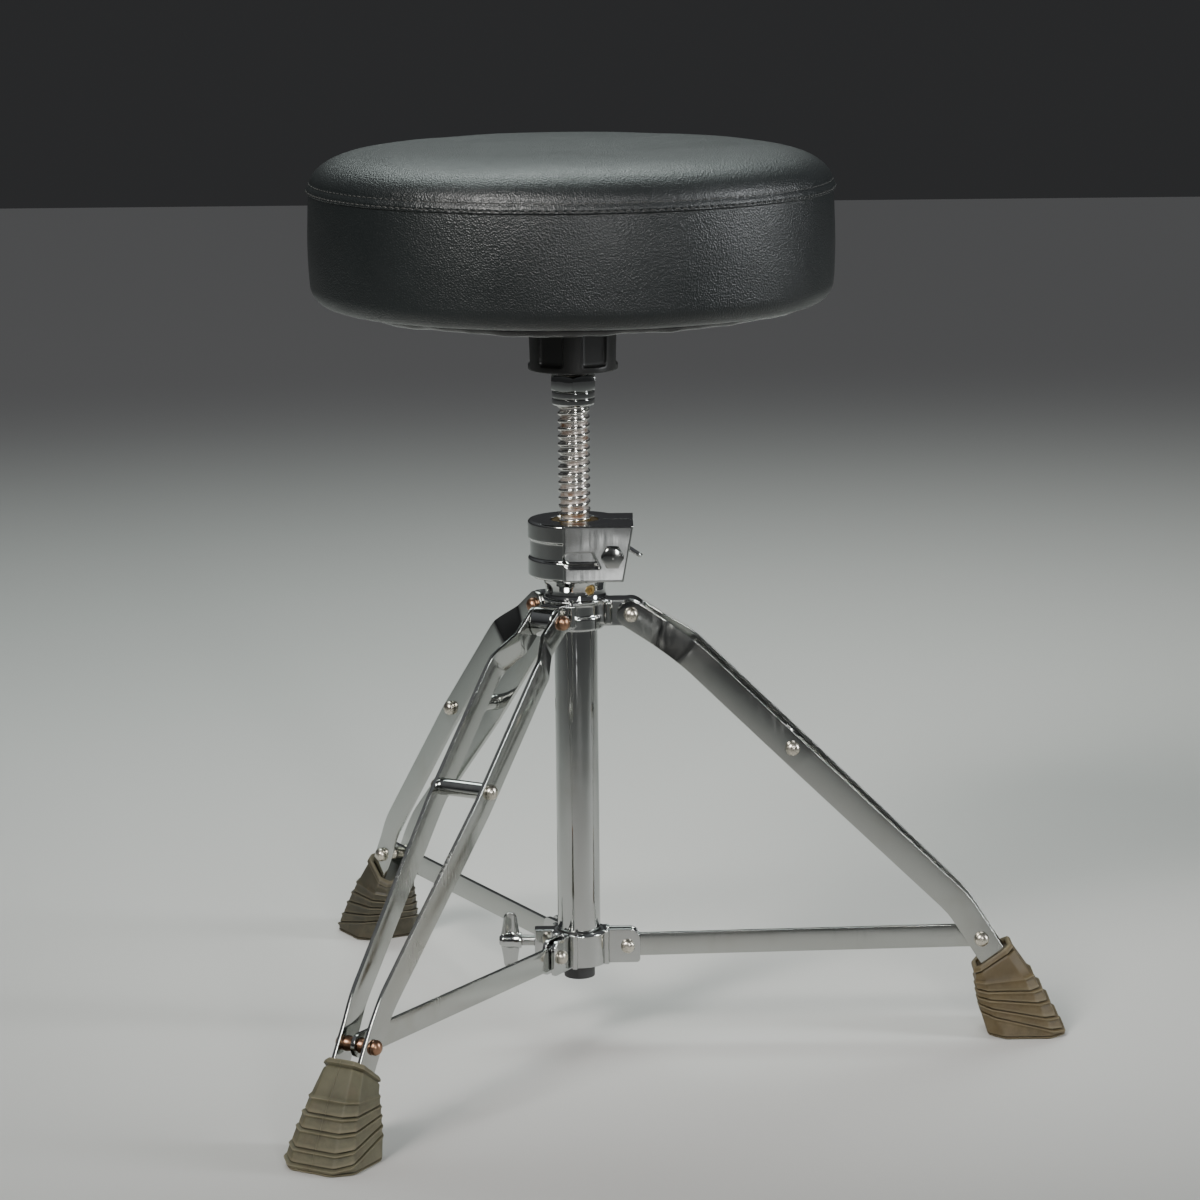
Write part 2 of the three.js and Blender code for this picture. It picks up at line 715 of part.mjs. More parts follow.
function addLegs() {
  const inside = middleSpread - stripThickness / 2 - gap;
  const outside = (spread) => spread + stripThickness / 2 + gap;
  eachLeg((angle, number) => {
    const leg = new THREE.Group();
    leg.rotation.z = angle;
    throne.add(leg);
    const holes = [legHinge, legMiddle, legPin].map((place) => pinHole(place, rivetShank + gap));
    add(`leg_strip_left_${number}`, cut(strip(1), ...holes), chrome, leg);
    add(`leg_strip_right_${number}`, cut(strip(-1), ...holes), chrome, leg);
    const put = (name, geometry, place, material) =>
      add(`${name}_${number}`, geometry.translate(place.x, 0, place.z), material, leg);
    put("leg_hinge_rivet", rivet(rivetShank, outside(hingeSpread)), legHinge, nickel);
    put("leg_middle_rivet", rivet(rivetShank, outside(middleSpread)), legMiddle, nickel);
    const spacer = alongY(ring(rivetShank + gap, spacerRadius, -inside, inside, smallSides));
    put("leg_spacer_tube", spacer, legMiddle, chrome);
    put("leg_lower_pin_left", lowerHalfPin(1), legPin, nickel);
    put("leg_lower_pin_right", lowerHalfPin(-1), legPin, nickel);
    add(`foot_${number}`, foot(), rubber, leg);
  });
}

// ---------------------------------------------------------------- sliding collar and stays

const earHalfGap = stayThickness / 2 + 0.35;
const collarBore = 16.6;
const collarScrewHeight = 65;

function ear(side) {
  const outline = new THREE.Shape();
  const end = collarPin.x + 8.4;
  const [topRound, lowRound] = [7, 2.5];
  outline.moveTo(collarBore + 1, collarBottom);
  outline.lineTo(end - lowRound, collarBottom);
  outline.absarc(end - lowRound, collarBottom + lowRound, lowRound, -Math.PI / 2, 0, false);
  outline.absarc(end - topRound, collarTop - topRound, topRound, 0, Math.PI / 2, false);
  outline.lineTo(collarBore + 1, collarTop);
  outline.closePath();
  const [near, far] = [earHalfGap, earHalfGap + earThickness];
  return side > 0 ? plate(outline, near, far) : plate(outline, -far, -near);
}

function addCollar() {
  const body = turned([
    [0, collarBottom],
    [collarRadius - 1, collarBottom],
    [collarRadius, collarBottom + 1],
    [collarRadius, collarTop - 1],
    [collarRadius - 1, collarTop],
    [0, collarTop],
  ]);
  const ears = eachLeg((angle) => join(ear(1), ear(-1)).rotateZ(angle));
  const earHoles = eachLeg((angle) => pinHole(collarPin, rivetShank + gap, 12).rotateZ(angle));
  const boss = block([-29.8, -5.5, collarScrewHeight - 8.4], [-15, 5.5, collarTop]);
  const bore = disc(collarBore, collarBottom - 1, collarTop + 1);
  const screwHole = radialHole(boltHoleRadius, 10, 40, Math.PI, collarScrewHeight);
  add("sliding_collar", cut(join(body, boss, ...ears), bore, screwHole, ...earHoles), chrome);
  add("collar_liner", ring(tubeRadius + gap, collarBore - gap, collarBottom + 1, collarTop - 1), nylon);

  const screw = wingScrew({ shankRadius: 4, shankLength: 21.6, hubRadius: 5.5, hubLength: 15, reach: 19.5 });
  const placed = screw.rotateY(-Math.PI / 2).translate(-38.6, 0, collarScrewHeight);
  add("collar_wing_bolt", placed, chrome);
}

function addBracketWingBolt() {
  const screw = wingScrew({ shankRadius: 4, shankLength: 29.4, hubRadius: 5.5, hubLength: 12, reach: 15.5 });
  const turn = (14 * Math.PI) / 180;
  const placed = alongX(screw.rotateZ(turn)).translate(40.6, 0, 0).rotateZ(bracketBoltAzimuth);
  add("bracket_wing_bolt", placed.translate(0, 0, bracketBoltHeight), chrome);
}

function addStays() {
  const run = distance(collarPin, legPin);
  const slope = Math.atan2(legPin.z - collarPin.z, legPin.x - collarPin.x);
  const radius = stayHeight / 2;
  eachLeg((angle, number) => {
    const outline = new THREE.Shape();
    outline.absarc(0, 0, radius, Math.PI / 2, (3 * Math.PI) / 2, false);
    outline.absarc(run, 0, radius, -Math.PI / 2, Math.PI / 2, false);
    outline.closePath();
    const bar = plate(outline, -stayThickness / 2, stayThickness / 2);
    const holes = [0, run].map((x) => pinHole({ x, z: 0 }, rivetShank + gap, 10));
    const stay = cut(bar, ...holes).rotateY(-slope).translate(collarPin.x, 0, collarPin.z);
    add(`stay_${number}`, stay.rotateZ(angle), chrome);
    const pin = rivet(rivetShank, earHalfGap + earThickness + gap, stayRivet.head, stayRivet.dome);
    add(`stay_rivet_${number}`, pin.translate(collarPin.x, 0, collarPin.z).rotateZ(angle), nickel);
  });
}

// ---------------------------------------------------------------- the whole throne

addSeat();
addSeatBracket();
addRod();
addBracketWingBolt();
addTube();
addHeightClamp();
addClampBolt();
addHub();
addLegs();
addCollar();
addStays();

const box = new THREE.Box3().setFromObject(throne);
const middle = box.getCenter(new THREE.Vector3());
throne.position.set(-middle.x, -middle.y, -box.min.z);

export default throne;
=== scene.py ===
"""A folding drum throne: vinyl seat, threaded rod, height clamp, chromed column, three strip legs.

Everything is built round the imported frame. Local sizes are in millimetres, in the frame of the
centre tube (or of one leg, with x pointing out along it), and each mesh is put into the frame's
metres by that frame's matrix.
"""

import json
import math

import bmesh
import bpy
from mathutils import Matrix, Vector, noise


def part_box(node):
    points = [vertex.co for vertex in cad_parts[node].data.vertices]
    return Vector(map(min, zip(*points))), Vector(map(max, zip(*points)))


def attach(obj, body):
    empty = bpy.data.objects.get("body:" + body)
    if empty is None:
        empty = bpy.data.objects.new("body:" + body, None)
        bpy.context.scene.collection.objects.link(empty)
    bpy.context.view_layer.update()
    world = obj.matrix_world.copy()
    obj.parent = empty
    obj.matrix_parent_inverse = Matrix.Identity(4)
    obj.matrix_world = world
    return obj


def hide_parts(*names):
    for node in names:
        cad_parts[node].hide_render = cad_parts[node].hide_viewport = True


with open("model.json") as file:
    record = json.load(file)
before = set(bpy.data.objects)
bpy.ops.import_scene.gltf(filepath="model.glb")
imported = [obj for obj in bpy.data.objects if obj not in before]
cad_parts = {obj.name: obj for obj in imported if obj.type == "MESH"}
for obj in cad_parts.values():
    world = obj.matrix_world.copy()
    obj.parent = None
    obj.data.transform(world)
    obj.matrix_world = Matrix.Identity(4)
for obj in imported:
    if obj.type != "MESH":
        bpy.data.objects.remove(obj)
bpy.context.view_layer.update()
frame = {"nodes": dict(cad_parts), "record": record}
RECORD = frame["record"]
NODE_BODY = {node: body for body, nodes in RECORD["behaviour"]["bodies"].items() for node in nodes}
NODE_SLOT = {subpart["node"]: subpart["material_slot"] for subpart in RECORD["subparts"]}
MM = 0.001
LEGS = (1, 2, 3)

# ------------------------------------------------------------------ places taken from the frame

TUBE_LOW, TUBE_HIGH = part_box("main_tube")
ORIGIN = Vector(((TUBE_LOW.x + TUBE_HIGH.x) / 2, (TUBE_LOW.y + TUBE_HIGH.y) / 2, 0))


def local_box(node):
    """A node's lowest and highest corner in millimetres, measured from the tube's axis at the floor."""
    low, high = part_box(node)
    return (low - ORIGIN) / MM, (high - ORIGIN) / MM


def middle_of(node):
    low, high = local_box(node)
    return (low + high) / 2


def about(axis, degrees):
    return Matrix.Rotation(math.radians(degrees), 4, axis)


def moved(x, y, z):
    return Matrix.Translation((x, y, z))


def leg_turn(number):
    return about("Z", 120 * (number - 1))


def leg_frame(number):
    """Leg 1's frame turned to another leg: x out along the leg, z up, millimetres to metres."""
    return Matrix.Translation(ORIGIN) @ leg_turn(number) @ Matrix.Scale(MM, 4)


ALONG_X = about("Y", 90)
ALONG_Y = about("X", -90)
COLUMN = leg_frame(1)
HINGE = middle_of("leg_hinge_rivet_1")
MIDDLE = middle_of("leg_middle_rivet_1")
PIN = middle_of("leg_lower_pin_left_1")
COLLAR_PIN = middle_of("stay_rivet_1")
SEAT_LOW, SEAT_HIGH = local_box("seat_cushion")
CLAMP_LOW, CLAMP_HIGH = local_box("height_clamp")
ROD_RADIUS = local_box("threaded_rod")[1].x

# ------------------------------------------------------------------ mesh helpers


def fillet(points, radius, steps=4, closed=False):
    """A polyline of 2-D points with its corners rounded off by arcs of about that radius."""
    out = []
    count = len(points)
    for i, point in enumerate(points):
        here = Vector(point)
        if not closed and i in (0, count - 1):
            out.append(tuple(here))
            continue
        before = Vector(points[i - 1]) - here
        after = Vector(points[(i + 1) % count]) - here
        angle = before.angle(after)
        if angle > math.radians(172):
            out.append(tuple(here))
            continue
        reach = min(radius / math.tan(angle / 2), before.length * 0.49, after.length * 0.49)
        start = here + before.normalized() * reach
        end = here + after.normalized() * reach
        for s in range(steps + 1):
            t = s / steps
            out.append(tuple(start.lerp(here, t).lerp(here.lerp(end, t), t)))
    return out


def polar(radius, angle, height):
    """The point at an angle round the z axis."""
    return (radius * math.cos(angle), radius * math.sin(angle), height)


def full_turn(count):
    """Evenly spaced angles, once round."""
    return [2 * math.pi * i / count for i in range(count)]


def bridge(bm, first, second):
    """Faces between two closed rows of points. Either row may be a single point."""
    count = max(len(first), len(second))
    for i in range(count):
        j = (i + 1) % count
        corners = [first[i % len(first)], first[j % len(first)]]
        corners += [second[j % len(second)], second[i % len(second)]]
        unique = list(dict.fromkeys(corners))
        if len(unique) > 2:
            bm.faces.new(unique)


def lathe(profile, segments=96):
    """A closed solid turned about z from (radius, height) points that start and end on the axis, or
    that go once round a ring's section."""
    bm = bmesh.new()
    rows = []
    for radius, height in profile:
        angles = full_turn(segments) if radius > 1e-6 else [0]
        rows.append([bm.verts.new(polar(radius, angle, height)) for angle in angles])
    for lower, upper in zip(rows, rows[1:]):
        bridge(bm, lower, upper)
    if len(rows[0]) > 1:
        bridge(bm, rows[-1], rows[0])
    return bm


def disc(radius, low, high, edge=0.4, segments=96):
    """A turned bar with slightly rounded edges."""
    return lathe(fillet([(0, low), (radius, low), (radius, high), (0, high)], edge), segments)


def tube(inner, outer, low, high, edge=0.4, segments=96):
    section = [(inner, low), (outer, low), (outer, high), (inner, high)]
    return lathe(fillet(section, edge, closed=True), segments)


def add_loft(bm, rings):
    """Adds a skin over rings of points that have as many points each, closed by a face at both ends."""
    rows = [[bm.verts.new(point) for point in ring] for ring in rings]
    for lower, upper in zip(rows, rows[1:]):
        bridge(bm, lower, upper)
    bm.faces.new(list(reversed(rows[0])))
    bm.faces.new(rows[-1])


def loft(rings):
    bm = bmesh.new()
    add_loft(bm, rings)
    return bm


def prism(outline, low, high):
    """An outline of (x, z) points made solid from y = low to y = high."""
    return loft([[(x, y, z) for x, z in outline] for y in (low, high)])


def box_mesh(low, high):
    outline = [(low[0], low[2]), (high[0], low[2]), (high[0], high[2]), (low[0], high[2])]
    return prism(outline, low[1], high[1])


def arc(centre, radius, start, end, steps=8):
    """Points of a circular arc, its angles in degrees."""
    angles = [math.radians(start + (end - start) * i / steps) for i in range(steps + 1)]
    return [(centre[0] + radius * math.cos(a), centre[1] + radius * math.sin(a)) for a in angles]


# One turn of a screw thread, crest first: (share of the pitch, share of the depth that is cut in).
THREAD_SECTION = [
    (0.02, 0.15), (0.07, 0.0), (0.30, 0.0), (0.35, 0.15),
    (0.48, 0.88), (0.54, 1.0), (0.80, 1.0), (0.88, 0.88),
]


def threaded(radius, depth, pitch, low, high, segments=32):
    """A bar with a screw thread. Its rows of points climb with the thread, so a crest is one helix."""
    bm = bmesh.new()
    turns = math.ceil((high - low) / pitch)
    rows = []
    for turn in range(-1, turns + 1):
        for share, sink in THREAD_SECTION:
            row = []
            for j, angle in enumerate(full_turn(segments)):
                height = min(high, max(low, low + pitch * (turn + share + j / segments)))
                from_end = min(height - low, high - height)
                out = radius - max(depth * sink, depth - from_end)
                row.append(bm.verts.new(polar(out, angle, height)))
            rows.append(row)
    count = len(THREAD_SECTION)
    for i in range(len(rows) - count - 1):
        for j in range(segments):
            k = (j + 1) % segments
            climb = 0 if k else count
            bm.faces.new((rows[i][j], rows[i + climb][k], rows[i + climb + 1][k], rows[i + 1][j]))
    bmesh.ops.remove_doubles(bm, verts=bm.verts[:], dist=0.002)
    loose = [vert for vert in bm.verts if not vert.link_faces]
    bmesh.ops.delete(bm, geom=loose, context="VERTS")
    bmesh.ops.holes_fill(bm, edges=[edge for edge in bm.edges if edge.is_boundary], sides=0)
    return bm


def turned(bm, *matrices):
    for matrix in matrices:
        bm.transform(matrix)
    return bm


def add_object(name, data):
    obj = bpy.data.objects.new(name, data)
    bpy.context.scene.collection.objects.link(obj)
    return obj


def mesh_of(bm, name="scratch"):
    """Ends a bmesh and gives the mesh that it makes."""
    mesh = bpy.data.meshes.new(name)
    bm.to_mesh(mesh)
    bm.free()
    return mesh


def scratch_object(bm):
    bmesh.ops.recalc_face_normals(bm, faces=bm.faces[:])
    return add_object("scratch", mesh_of(bm))


def bake_modifiers(obj):
    """Replaces an object's mesh by what its modifiers make of it."""
    bpy.context.view_layer.update()
    depsgraph = bpy.context.evaluated_depsgraph_get()
    mesh = bpy.data.meshes.new_from_object(obj.evaluated_get(depsgraph))
    obj.modifiers.clear()
    obj.data = mesh
    return obj


def back_to_bmesh(obj):
    bm = bmesh.new()
    bm.from_mesh(obj.data)
    bpy.data.objects.remove(obj)
    return bm


def boolean(base, tools, operation):
    body = scratch_object(base)
    parts = [scratch_object(tool) for tool in tools]
    for part in parts:
        modifier = body.modifiers.new("boolean", "BOOLEAN")
        modifier.object = part
        modifier.operation = operation
        modifier.solver = "EXACT"
    bake_modifiers(body)
    for part in parts:
        bpy.data.objects.remove(part)
    return back_to_bmesh(body)


def fuse(base, *tools):
    return boolean(base, tools, "UNION")


def carve(base, *tools):
    return boolean(base, tools, "DIFFERENCE")


def soften(bm, width, segments=2, angle=32):
    """Rounds off every edge sharper than the angle."""
    bmesh.ops.remove_doubles(bm, verts=bm.verts[:], dist=0.01)
    obj = scratch_object(bm)
    modifier = obj.modifiers.new("bevel", "BEVEL")
    modifier.width = width
    modifier.segments = segments
    modifier.limit_method = "ANGLE"
    modifier.angle_limit = math.radians(angle)
    modifier.use_clamp_overlap = True
    bake_modifiers(obj)
    return back_to_bmesh(obj)


def melt(bm, voxel, rounds=6):
    """Remeshes finely and smooths, which gives a casting its soft edges and fillets."""
    obj = scratch_object(bm)
    modifier = obj.modifiers.new("remesh", "REMESH")
    modifier.mode = "VOXEL"
    modifier.voxel_size = voxel
    smooth = obj.modifiers.new("smooth", "SMOOTH")
    smooth.iterations = rounds
    bake_modifiers(obj)
    return back_to_bmesh(obj)


def piece(name, bm, place, material, body, nodes=(), sharp=35):
    """Finishes a mesh as a visible piece on a CAD body, standing for some CAD nodes."""
    bmesh.ops.recalc_face_normals(bm, faces=bm.faces[:])
    bm.transform(place)
    mesh = mesh_of(bm, name)
    mesh.polygons.foreach_set("use_smooth", [True] * len(mesh.polygons))
    mesh.set_sharp_from_angle(angle=math.radians(sharp))
    mesh.materials.append(material)
    obj = add_object(name, mesh)
    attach(obj, body)
    if nodes:
        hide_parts(*nodes)
    return obj


def stand_for(node, bm, place=COLUMN, material=None, sharp=35):
    """A finer piece in a CAD node's place, on its body and with its finish."""
    slot = NODE_SLOT[node]
    surface = material or SLOT_MATERIALS[slot]
    return piece(f"{node}_shape", bm, place, surface, NODE_BODY[node], [node], sharp)


# ------------------------------------------------------------------ camera, light and floor

CAMERA_PLACE = ORIGIN + Vector((0.0161, -2.567, 0.797))
CAMERA_PITCH = 11.03
CAMERA_ROLL = -0.57
CAMERA_LENS = 119.1
SENSOR = 36


def add_camera():
    data = bpy.data.cameras.new("camera")
    data.lens = CAMERA_LENS
    data.sensor_width = SENSOR
    camera = add_object("camera", data)
    camera.matrix_world = moved(*CAMERA_PLACE) @ about("X", 90 - CAMERA_PITCH) @ about("Z", CAMERA_ROLL)
    bpy.context.scene.camera = camera


def add_area(name, position, target, size, power, spread, colour=(1, 1, 1)):
    data = bpy.data.lights.new(name, "AREA")
    data.spread = math.radians(spread)
    data.shape = "RECTANGLE"
    data.size, data.size_y = size
    data.energy = power
    data.color = colour
    lamp = add_object(name, data)
    lamp.location = position
    lamp.rotation_euler = (Vector(target) - Vector(position)).to_track_quat("-Z", "Y").to_euler()


def seen_in_front_face(point, reach):
    """The place that the camera sees in a polished face that looks to the front, at a distance from it."""
    sight = point - CAMERA_PLACE
    return point + Vector((sight.x, -sight.y, sight.z)) * (reach / sight.y)


def add_lights():
    """A dim room that is darker near the horizon, which chrome needs for contrast, and soft lamps. Two
    faint cards are there only to be mirrored in the clamp's flat face."""
    world = bpy.data.worlds.new("studio")
    bpy.context.scene.world = world
    world.use_nodes = True
    nodes = world.node_tree.nodes
    links = world.node_tree.links
    background = nodes["Background"]
    coordinates = nodes.new("ShaderNodeTexCoord")
    split = nodes.new("ShaderNodeSeparateXYZ")
    ramp = nodes.new("ShaderNodeValToRGB")
    links.new(coordinates.outputs["Generated"], split.inputs[0])
    links.new(split.outputs["Z"], ramp.inputs["Fac"])
    ramp.color_ramp.elements[0].position = 0.05
    ramp.color_ramp.elements[0].color = (0.055, 0.056, 0.058, 1)
    ramp.color_ramp.elements[1].position = 0.85
    ramp.color_ramp.elements[1].color = (0.34, 0.35, 0.37, 1)
    links.new(ramp.outputs["Color"], background.inputs["Color"])
    background.inputs["Strength"].default_value = 0.5
    high = (ORIGIN.x, ORIGIN.y, 0.42)
    add_area("key", (-1.2, -1.5, 1.75), high, (0.6, 1.0), 4.5, 42, (1.0, 0.98, 0.95))
    add_area("front_strip", (0.55, -2.3, 1.15), high, (0.14, 1.2), 1.6, 38)
    add_area("side", (1.7, -0.3, 1.0), high, (0.3, 1.4), 3.2, 52, (0.95, 0.98, 1.0))
    card_width = 0.09
    watts_per_area = 0.5
    for name, share, depth in (("upper_card", 0.87, 0.015), ("lower_card", 0.27, 0.03)):
        height = (CLAMP_LOW.z + (CLAMP_HIGH.z - CLAMP_LOW.z) * share) * MM
        front_face = Vector((ORIGIN.x + CLAMP_HIGH.x * MM * 0.75, ORIGIN.y, height))
        power = watts_per_area * card_width * depth
        add_area(name, seen_in_front_face(front_face, 1.3), front_face, (card_width, depth), power, 60)
    add_area("back_wash", (-0.2, 1.3, 2.0), (ORIGIN.x, 0.75, 0), (1.6, 0.9), 15, 115, (0.89, 1.0, 0.97))


def add_floor():
    size = 6.0
    mesh = bpy.data.meshes.new("floor")
    corners = [(-size, -size, 0), (size, -size, 0), (size, size, 0), (-size, size, 0)]
    mesh.from_pydata(corners, [], [(0, 1, 2, 3)])
    floor = add_object("floor", mesh)
    material = bpy.data.materials.new("floor_paint")
    material.use_nodes = True
    shader = material.node_tree.nodes["Principled BSDF"]
    shader.inputs["Base Color"].default_value = (0.55, 0.54, 0.52, 1)
    shader.inputs["Roughness"].default_value = 0.8
    mesh.materials.append(material)


add_camera()
add_lights()
add_floor()

# ------------------------------------------------------------------ materials


class Shader:
    """A Principled material with a few shorthands for adding nodes to it."""

    def __init__(self, name, **sockets):
        self.material = bpy.data.materials.new(name)
        self.material.use_nodes = True
        self.tree = self.material.node_tree
        self.shader = self.tree.nodes["Principled BSDF"]
        for socket, value in sockets.items():
            self.shader.inputs[socket.replace("_", " ")].default_value = value
        self.object_space = self.tree.nodes.new("ShaderNodeTexCoord").outputs["Object"]

    def node(self, kind, **inputs):
        made = self.tree.nodes.new(kind)
        for socket, value in inputs.items():
            self.feed(made.inputs[socket.replace("_", " ")], value)
        return made

    def feed(self, socket, value):
        if isinstance(value, bpy.types.NodeSocket):
            self.tree.links.new(value, socket)
        else:
            socket.default_value = value

    def noise(self, scale, detail=3.0, roughness=0.55, stretch=None):
        vector = self.object_space
        if stretch:
            mapping = self.node("ShaderNodeMapping", Vector=vector)
            mapping.inputs["Scale"].default_value = stretch
            vector = mapping.outputs["Vector"]
        made = self.node("ShaderNodeTexNoise", Vector=vector, Scale=scale, Detail=detail, Roughness=roughness)
        return made.outputs["Fac"]

    def cells(self, scale, feature="F1", smoothness=None):
        made = self.node("ShaderNodeTexVoronoi", Vector=self.object_space, Scale=scale)
        made.feature = feature
        if smoothness is not None:
            made.inputs["Smoothness"].default_value = smoothness
        return made.outputs["Distance"]

    def height(self):
        """How high a point is in the whole object, in metres."""
        return self.node("ShaderNodeSeparateXYZ", Vector=self.object_space).outputs["Z"]

    def ramp(self, value, low, high, low_out=0.0, high_out=1.0):
        made = self.node("ShaderNodeMapRange", Value=value)
        made.inputs["From Min"].default_value = low
        made.inputs["From Max"].default_value = high
        made.inputs["To Min"].default_value = low_out
        made.inputs["To Max"].default_value = high_out
        return made.outputs["Result"]

    def pointiness(self):
        return self.tree.nodes.new("ShaderNodeNewGeometry").outputs["Pointiness"]

    def edges(self, low, high):
        """1 along convex edges, 0 on flats and in hollows."""
        return self.ramp(self.pointiness(), low, high)

    def hollows(self, low=0.42, high=0.49):
        """1 in concave creases, 0 elsewhere."""
        return self.ramp(self.pointiness(), low, high, 1.0, 0.0)

    def mix(self, factor, first, second):
        """Blends two colours, each of them a socket or (red, green, blue)."""
        made = self.tree.nodes.new("ShaderNodeMix")
        made.data_type = "RGBA"
        self.feed(made.inputs[0], factor)
        for socket, colour in ((made.inputs[6], first), (made.inputs[7], second)):
            self.feed(socket, (*colour, 1) if isinstance(colour, tuple) else colour)
        return made.outputs[2]

    def math(self, operation, first, second=0.0, third=0.0):
        made = self.tree.nodes.new("ShaderNodeMath")
        made.operation = operation
        self.feed(made.inputs[0], first)
        self.feed(made.inputs[1], second)
        self.feed(made.inputs[2], third)
        return made.outputs[0]

    def vector_math(self, operation, vector, other=(0, 0, 0)):
        made = self.node("ShaderNodeVectorMath", Vector=vector)
        made.operation = operation
        made.inputs[1].default_value = other
        return made

    def set(self, socket, value):
        self.feed(self.shader.inputs[socket], value)

    def bump(self, height, distance, strength=1.0):
        made = self.node("ShaderNodeBump", Height=height)
        made.inputs["Distance"].default_value = distance
        made.inputs["Strength"].default_value = strength
        self.set("Normal", made.outputs["Normal"])


def shade(colour, share):
    return tuple(min(1, channel * share) for channel in colour)


def chrome_material(name, tint=(0.50, 0.51, 0.50), scuff=0.5, dust=0.15, base_roughness=0.06, wave=24):
    """Bright plating with hairline scuffs, small pits, a little dust in patches, and painted shade, a dull
    brown, in its concave creases.
    """
    s = Shader(name, Metallic=1.0)
    patches = s.noise(28, 4)
    hairlines = s.noise(420, 2, stretch=(1.0, 1.0, 0.06))
    pits = s.ramp(s.cells(330), 0.0, 0.16, 1.0, 0.0)
    grime = s.ramp(s.noise(9, 5, 0.65), 0.52, 0.78)
    # Concave creases, where the colour below paints shade.
    corners = s.hollows()
    scuffed = s.math("MULTIPLY", s.ramp(patches, 0.45, 0.75), s.ramp(hairlines, 0.4, 0.65))
    # Painted shade and dust: the creases join the dust patches, so both are painted darker and browner; dust
    # scales both.
    grime_and_crease_shade = s.math("MAXIMUM", grime, corners)
    rough = s.math("MULTIPLY_ADD", scuffed, 0.25 * scuff, base_roughness)
    s.set("Roughness", s.math("MULTIPLY_ADD", grime_and_crease_shade, dust, rough))
    dust_and_painted_light_share = s.math("MULTIPLY", grime_and_crease_shade, dust * 1.8)
    pits_grime_and_crease_shade = s.math("MAXIMUM", dust_and_painted_light_share, s.math("MULTIPLY", s.math("MULTIPLY", pits, scuffed), 0.5))
    s.set("Base Color", s.mix(pits_grime_and_crease_shade, tint, (0.30, 0.26, 0.20)))
    s.bump(s.math("MULTIPLY_ADD", scuffed, 0.02, s.noise(wave, 1)), 0.0006, 0.6)
    return s.material


def vinyl_material():
    """Pebbled upholstery vinyl: fine rounded grain with painted shade in its dimples, slightly uneven gloss,
    faint dust.
    """
    s = Shader("black_vinyl", IOR=1.5, Coat_Weight=0.08, Coat_Roughness=0.3)
    grain = s.cells(920, "SMOOTH_F1", smoothness=0.3)
    wander = s.noise(420, 3)
    pebble = s.math("ADD", s.math("MULTIPLY", grain, 0.8), s.math("MULTIPLY", wander, 0.35))
    broad = s.noise(11, 4)
    worn = s.ramp(s.noise(4.2, 6, 0.62), 0.42, 0.72)
    s.set("Roughness", s.ramp(broad, 0.3, 0.7, 0.34, 0.44))
    tone = s.mix(worn, (0.0060, 0.0078, 0.0080), (0.0095, 0.0122, 0.0124))
    # Painted shade: the grain's dimples, lowest in the bump, are painted darker.
    s.set("Base Color", s.mix(s.ramp(grain, 0.05, 0.5, 0.25, 0.0), tone, (0.004, 0.005, 0.005)))
    s.bump(pebble, 0.00038, 1.0)
    return s.material


def rod_material():
    """Worn steel thread: bright crests, with a brown film of rust and old grease in its grooves."""
    s = Shader("rod_steel", Metallic=1.0)
    from_axis = s.vector_math("SUBTRACT", s.object_space, (ORIGIN.x, ORIGIN.y, 0))
    level = s.vector_math("MULTIPLY", from_axis.outputs["Vector"], (1, 1, 0))
    radius = s.vector_math("LENGTH", level.outputs["Vector"])
    groove = s.ramp(radius.outputs["Value"], ROD_RADIUS * MM - 0.0014, ROD_RADIUS * MM - 0.0003, 1.0, 0.0)
    patches = s.ramp(s.noise(48, 5, 0.6), 0.42, 0.62)
    rust = s.math("MULTIPLY", groove, patches)
    bare = s.mix(s.noise(300, 3), (0.62, 0.60, 0.56), (0.74, 0.73, 0.70))
    s.set("Base Color", s.mix(rust, bare, (0.11, 0.05, 0.018)))
    s.set("Roughness", s.math("MULTIPLY_ADD", rust, 0.3, 0.17))
    s.set("Metallic", s.math("MULTIPLY_ADD", rust, -0.9, 1.0))
    s.bump(s.noise(900, 3), 0.00003, 0.5)
    return s.material


def plain_material(name, colour, roughness, metallic=0.0, grain=120, depth=0.00004, vary=0.25):
    """A moulded, cast or machined surface: mottled tone, uneven roughness, fine bump."""
    s = Shader(name, Metallic=metallic)
    mottle = s.noise(grain * 0.3, 4)
    fine = s.noise(grain * 6, 3)
    s.set("Base Color", s.mix(s.ramp(mottle, 0.3, 0.7), shade(colour, 1 - vary), shade(colour, 1 + vary)))
    s.set("Roughness", s.ramp(fine, 0.2, 0.8, roughness - 0.06, roughness + 0.08))
    s.bump(fine, depth, 0.6)
    return s.material


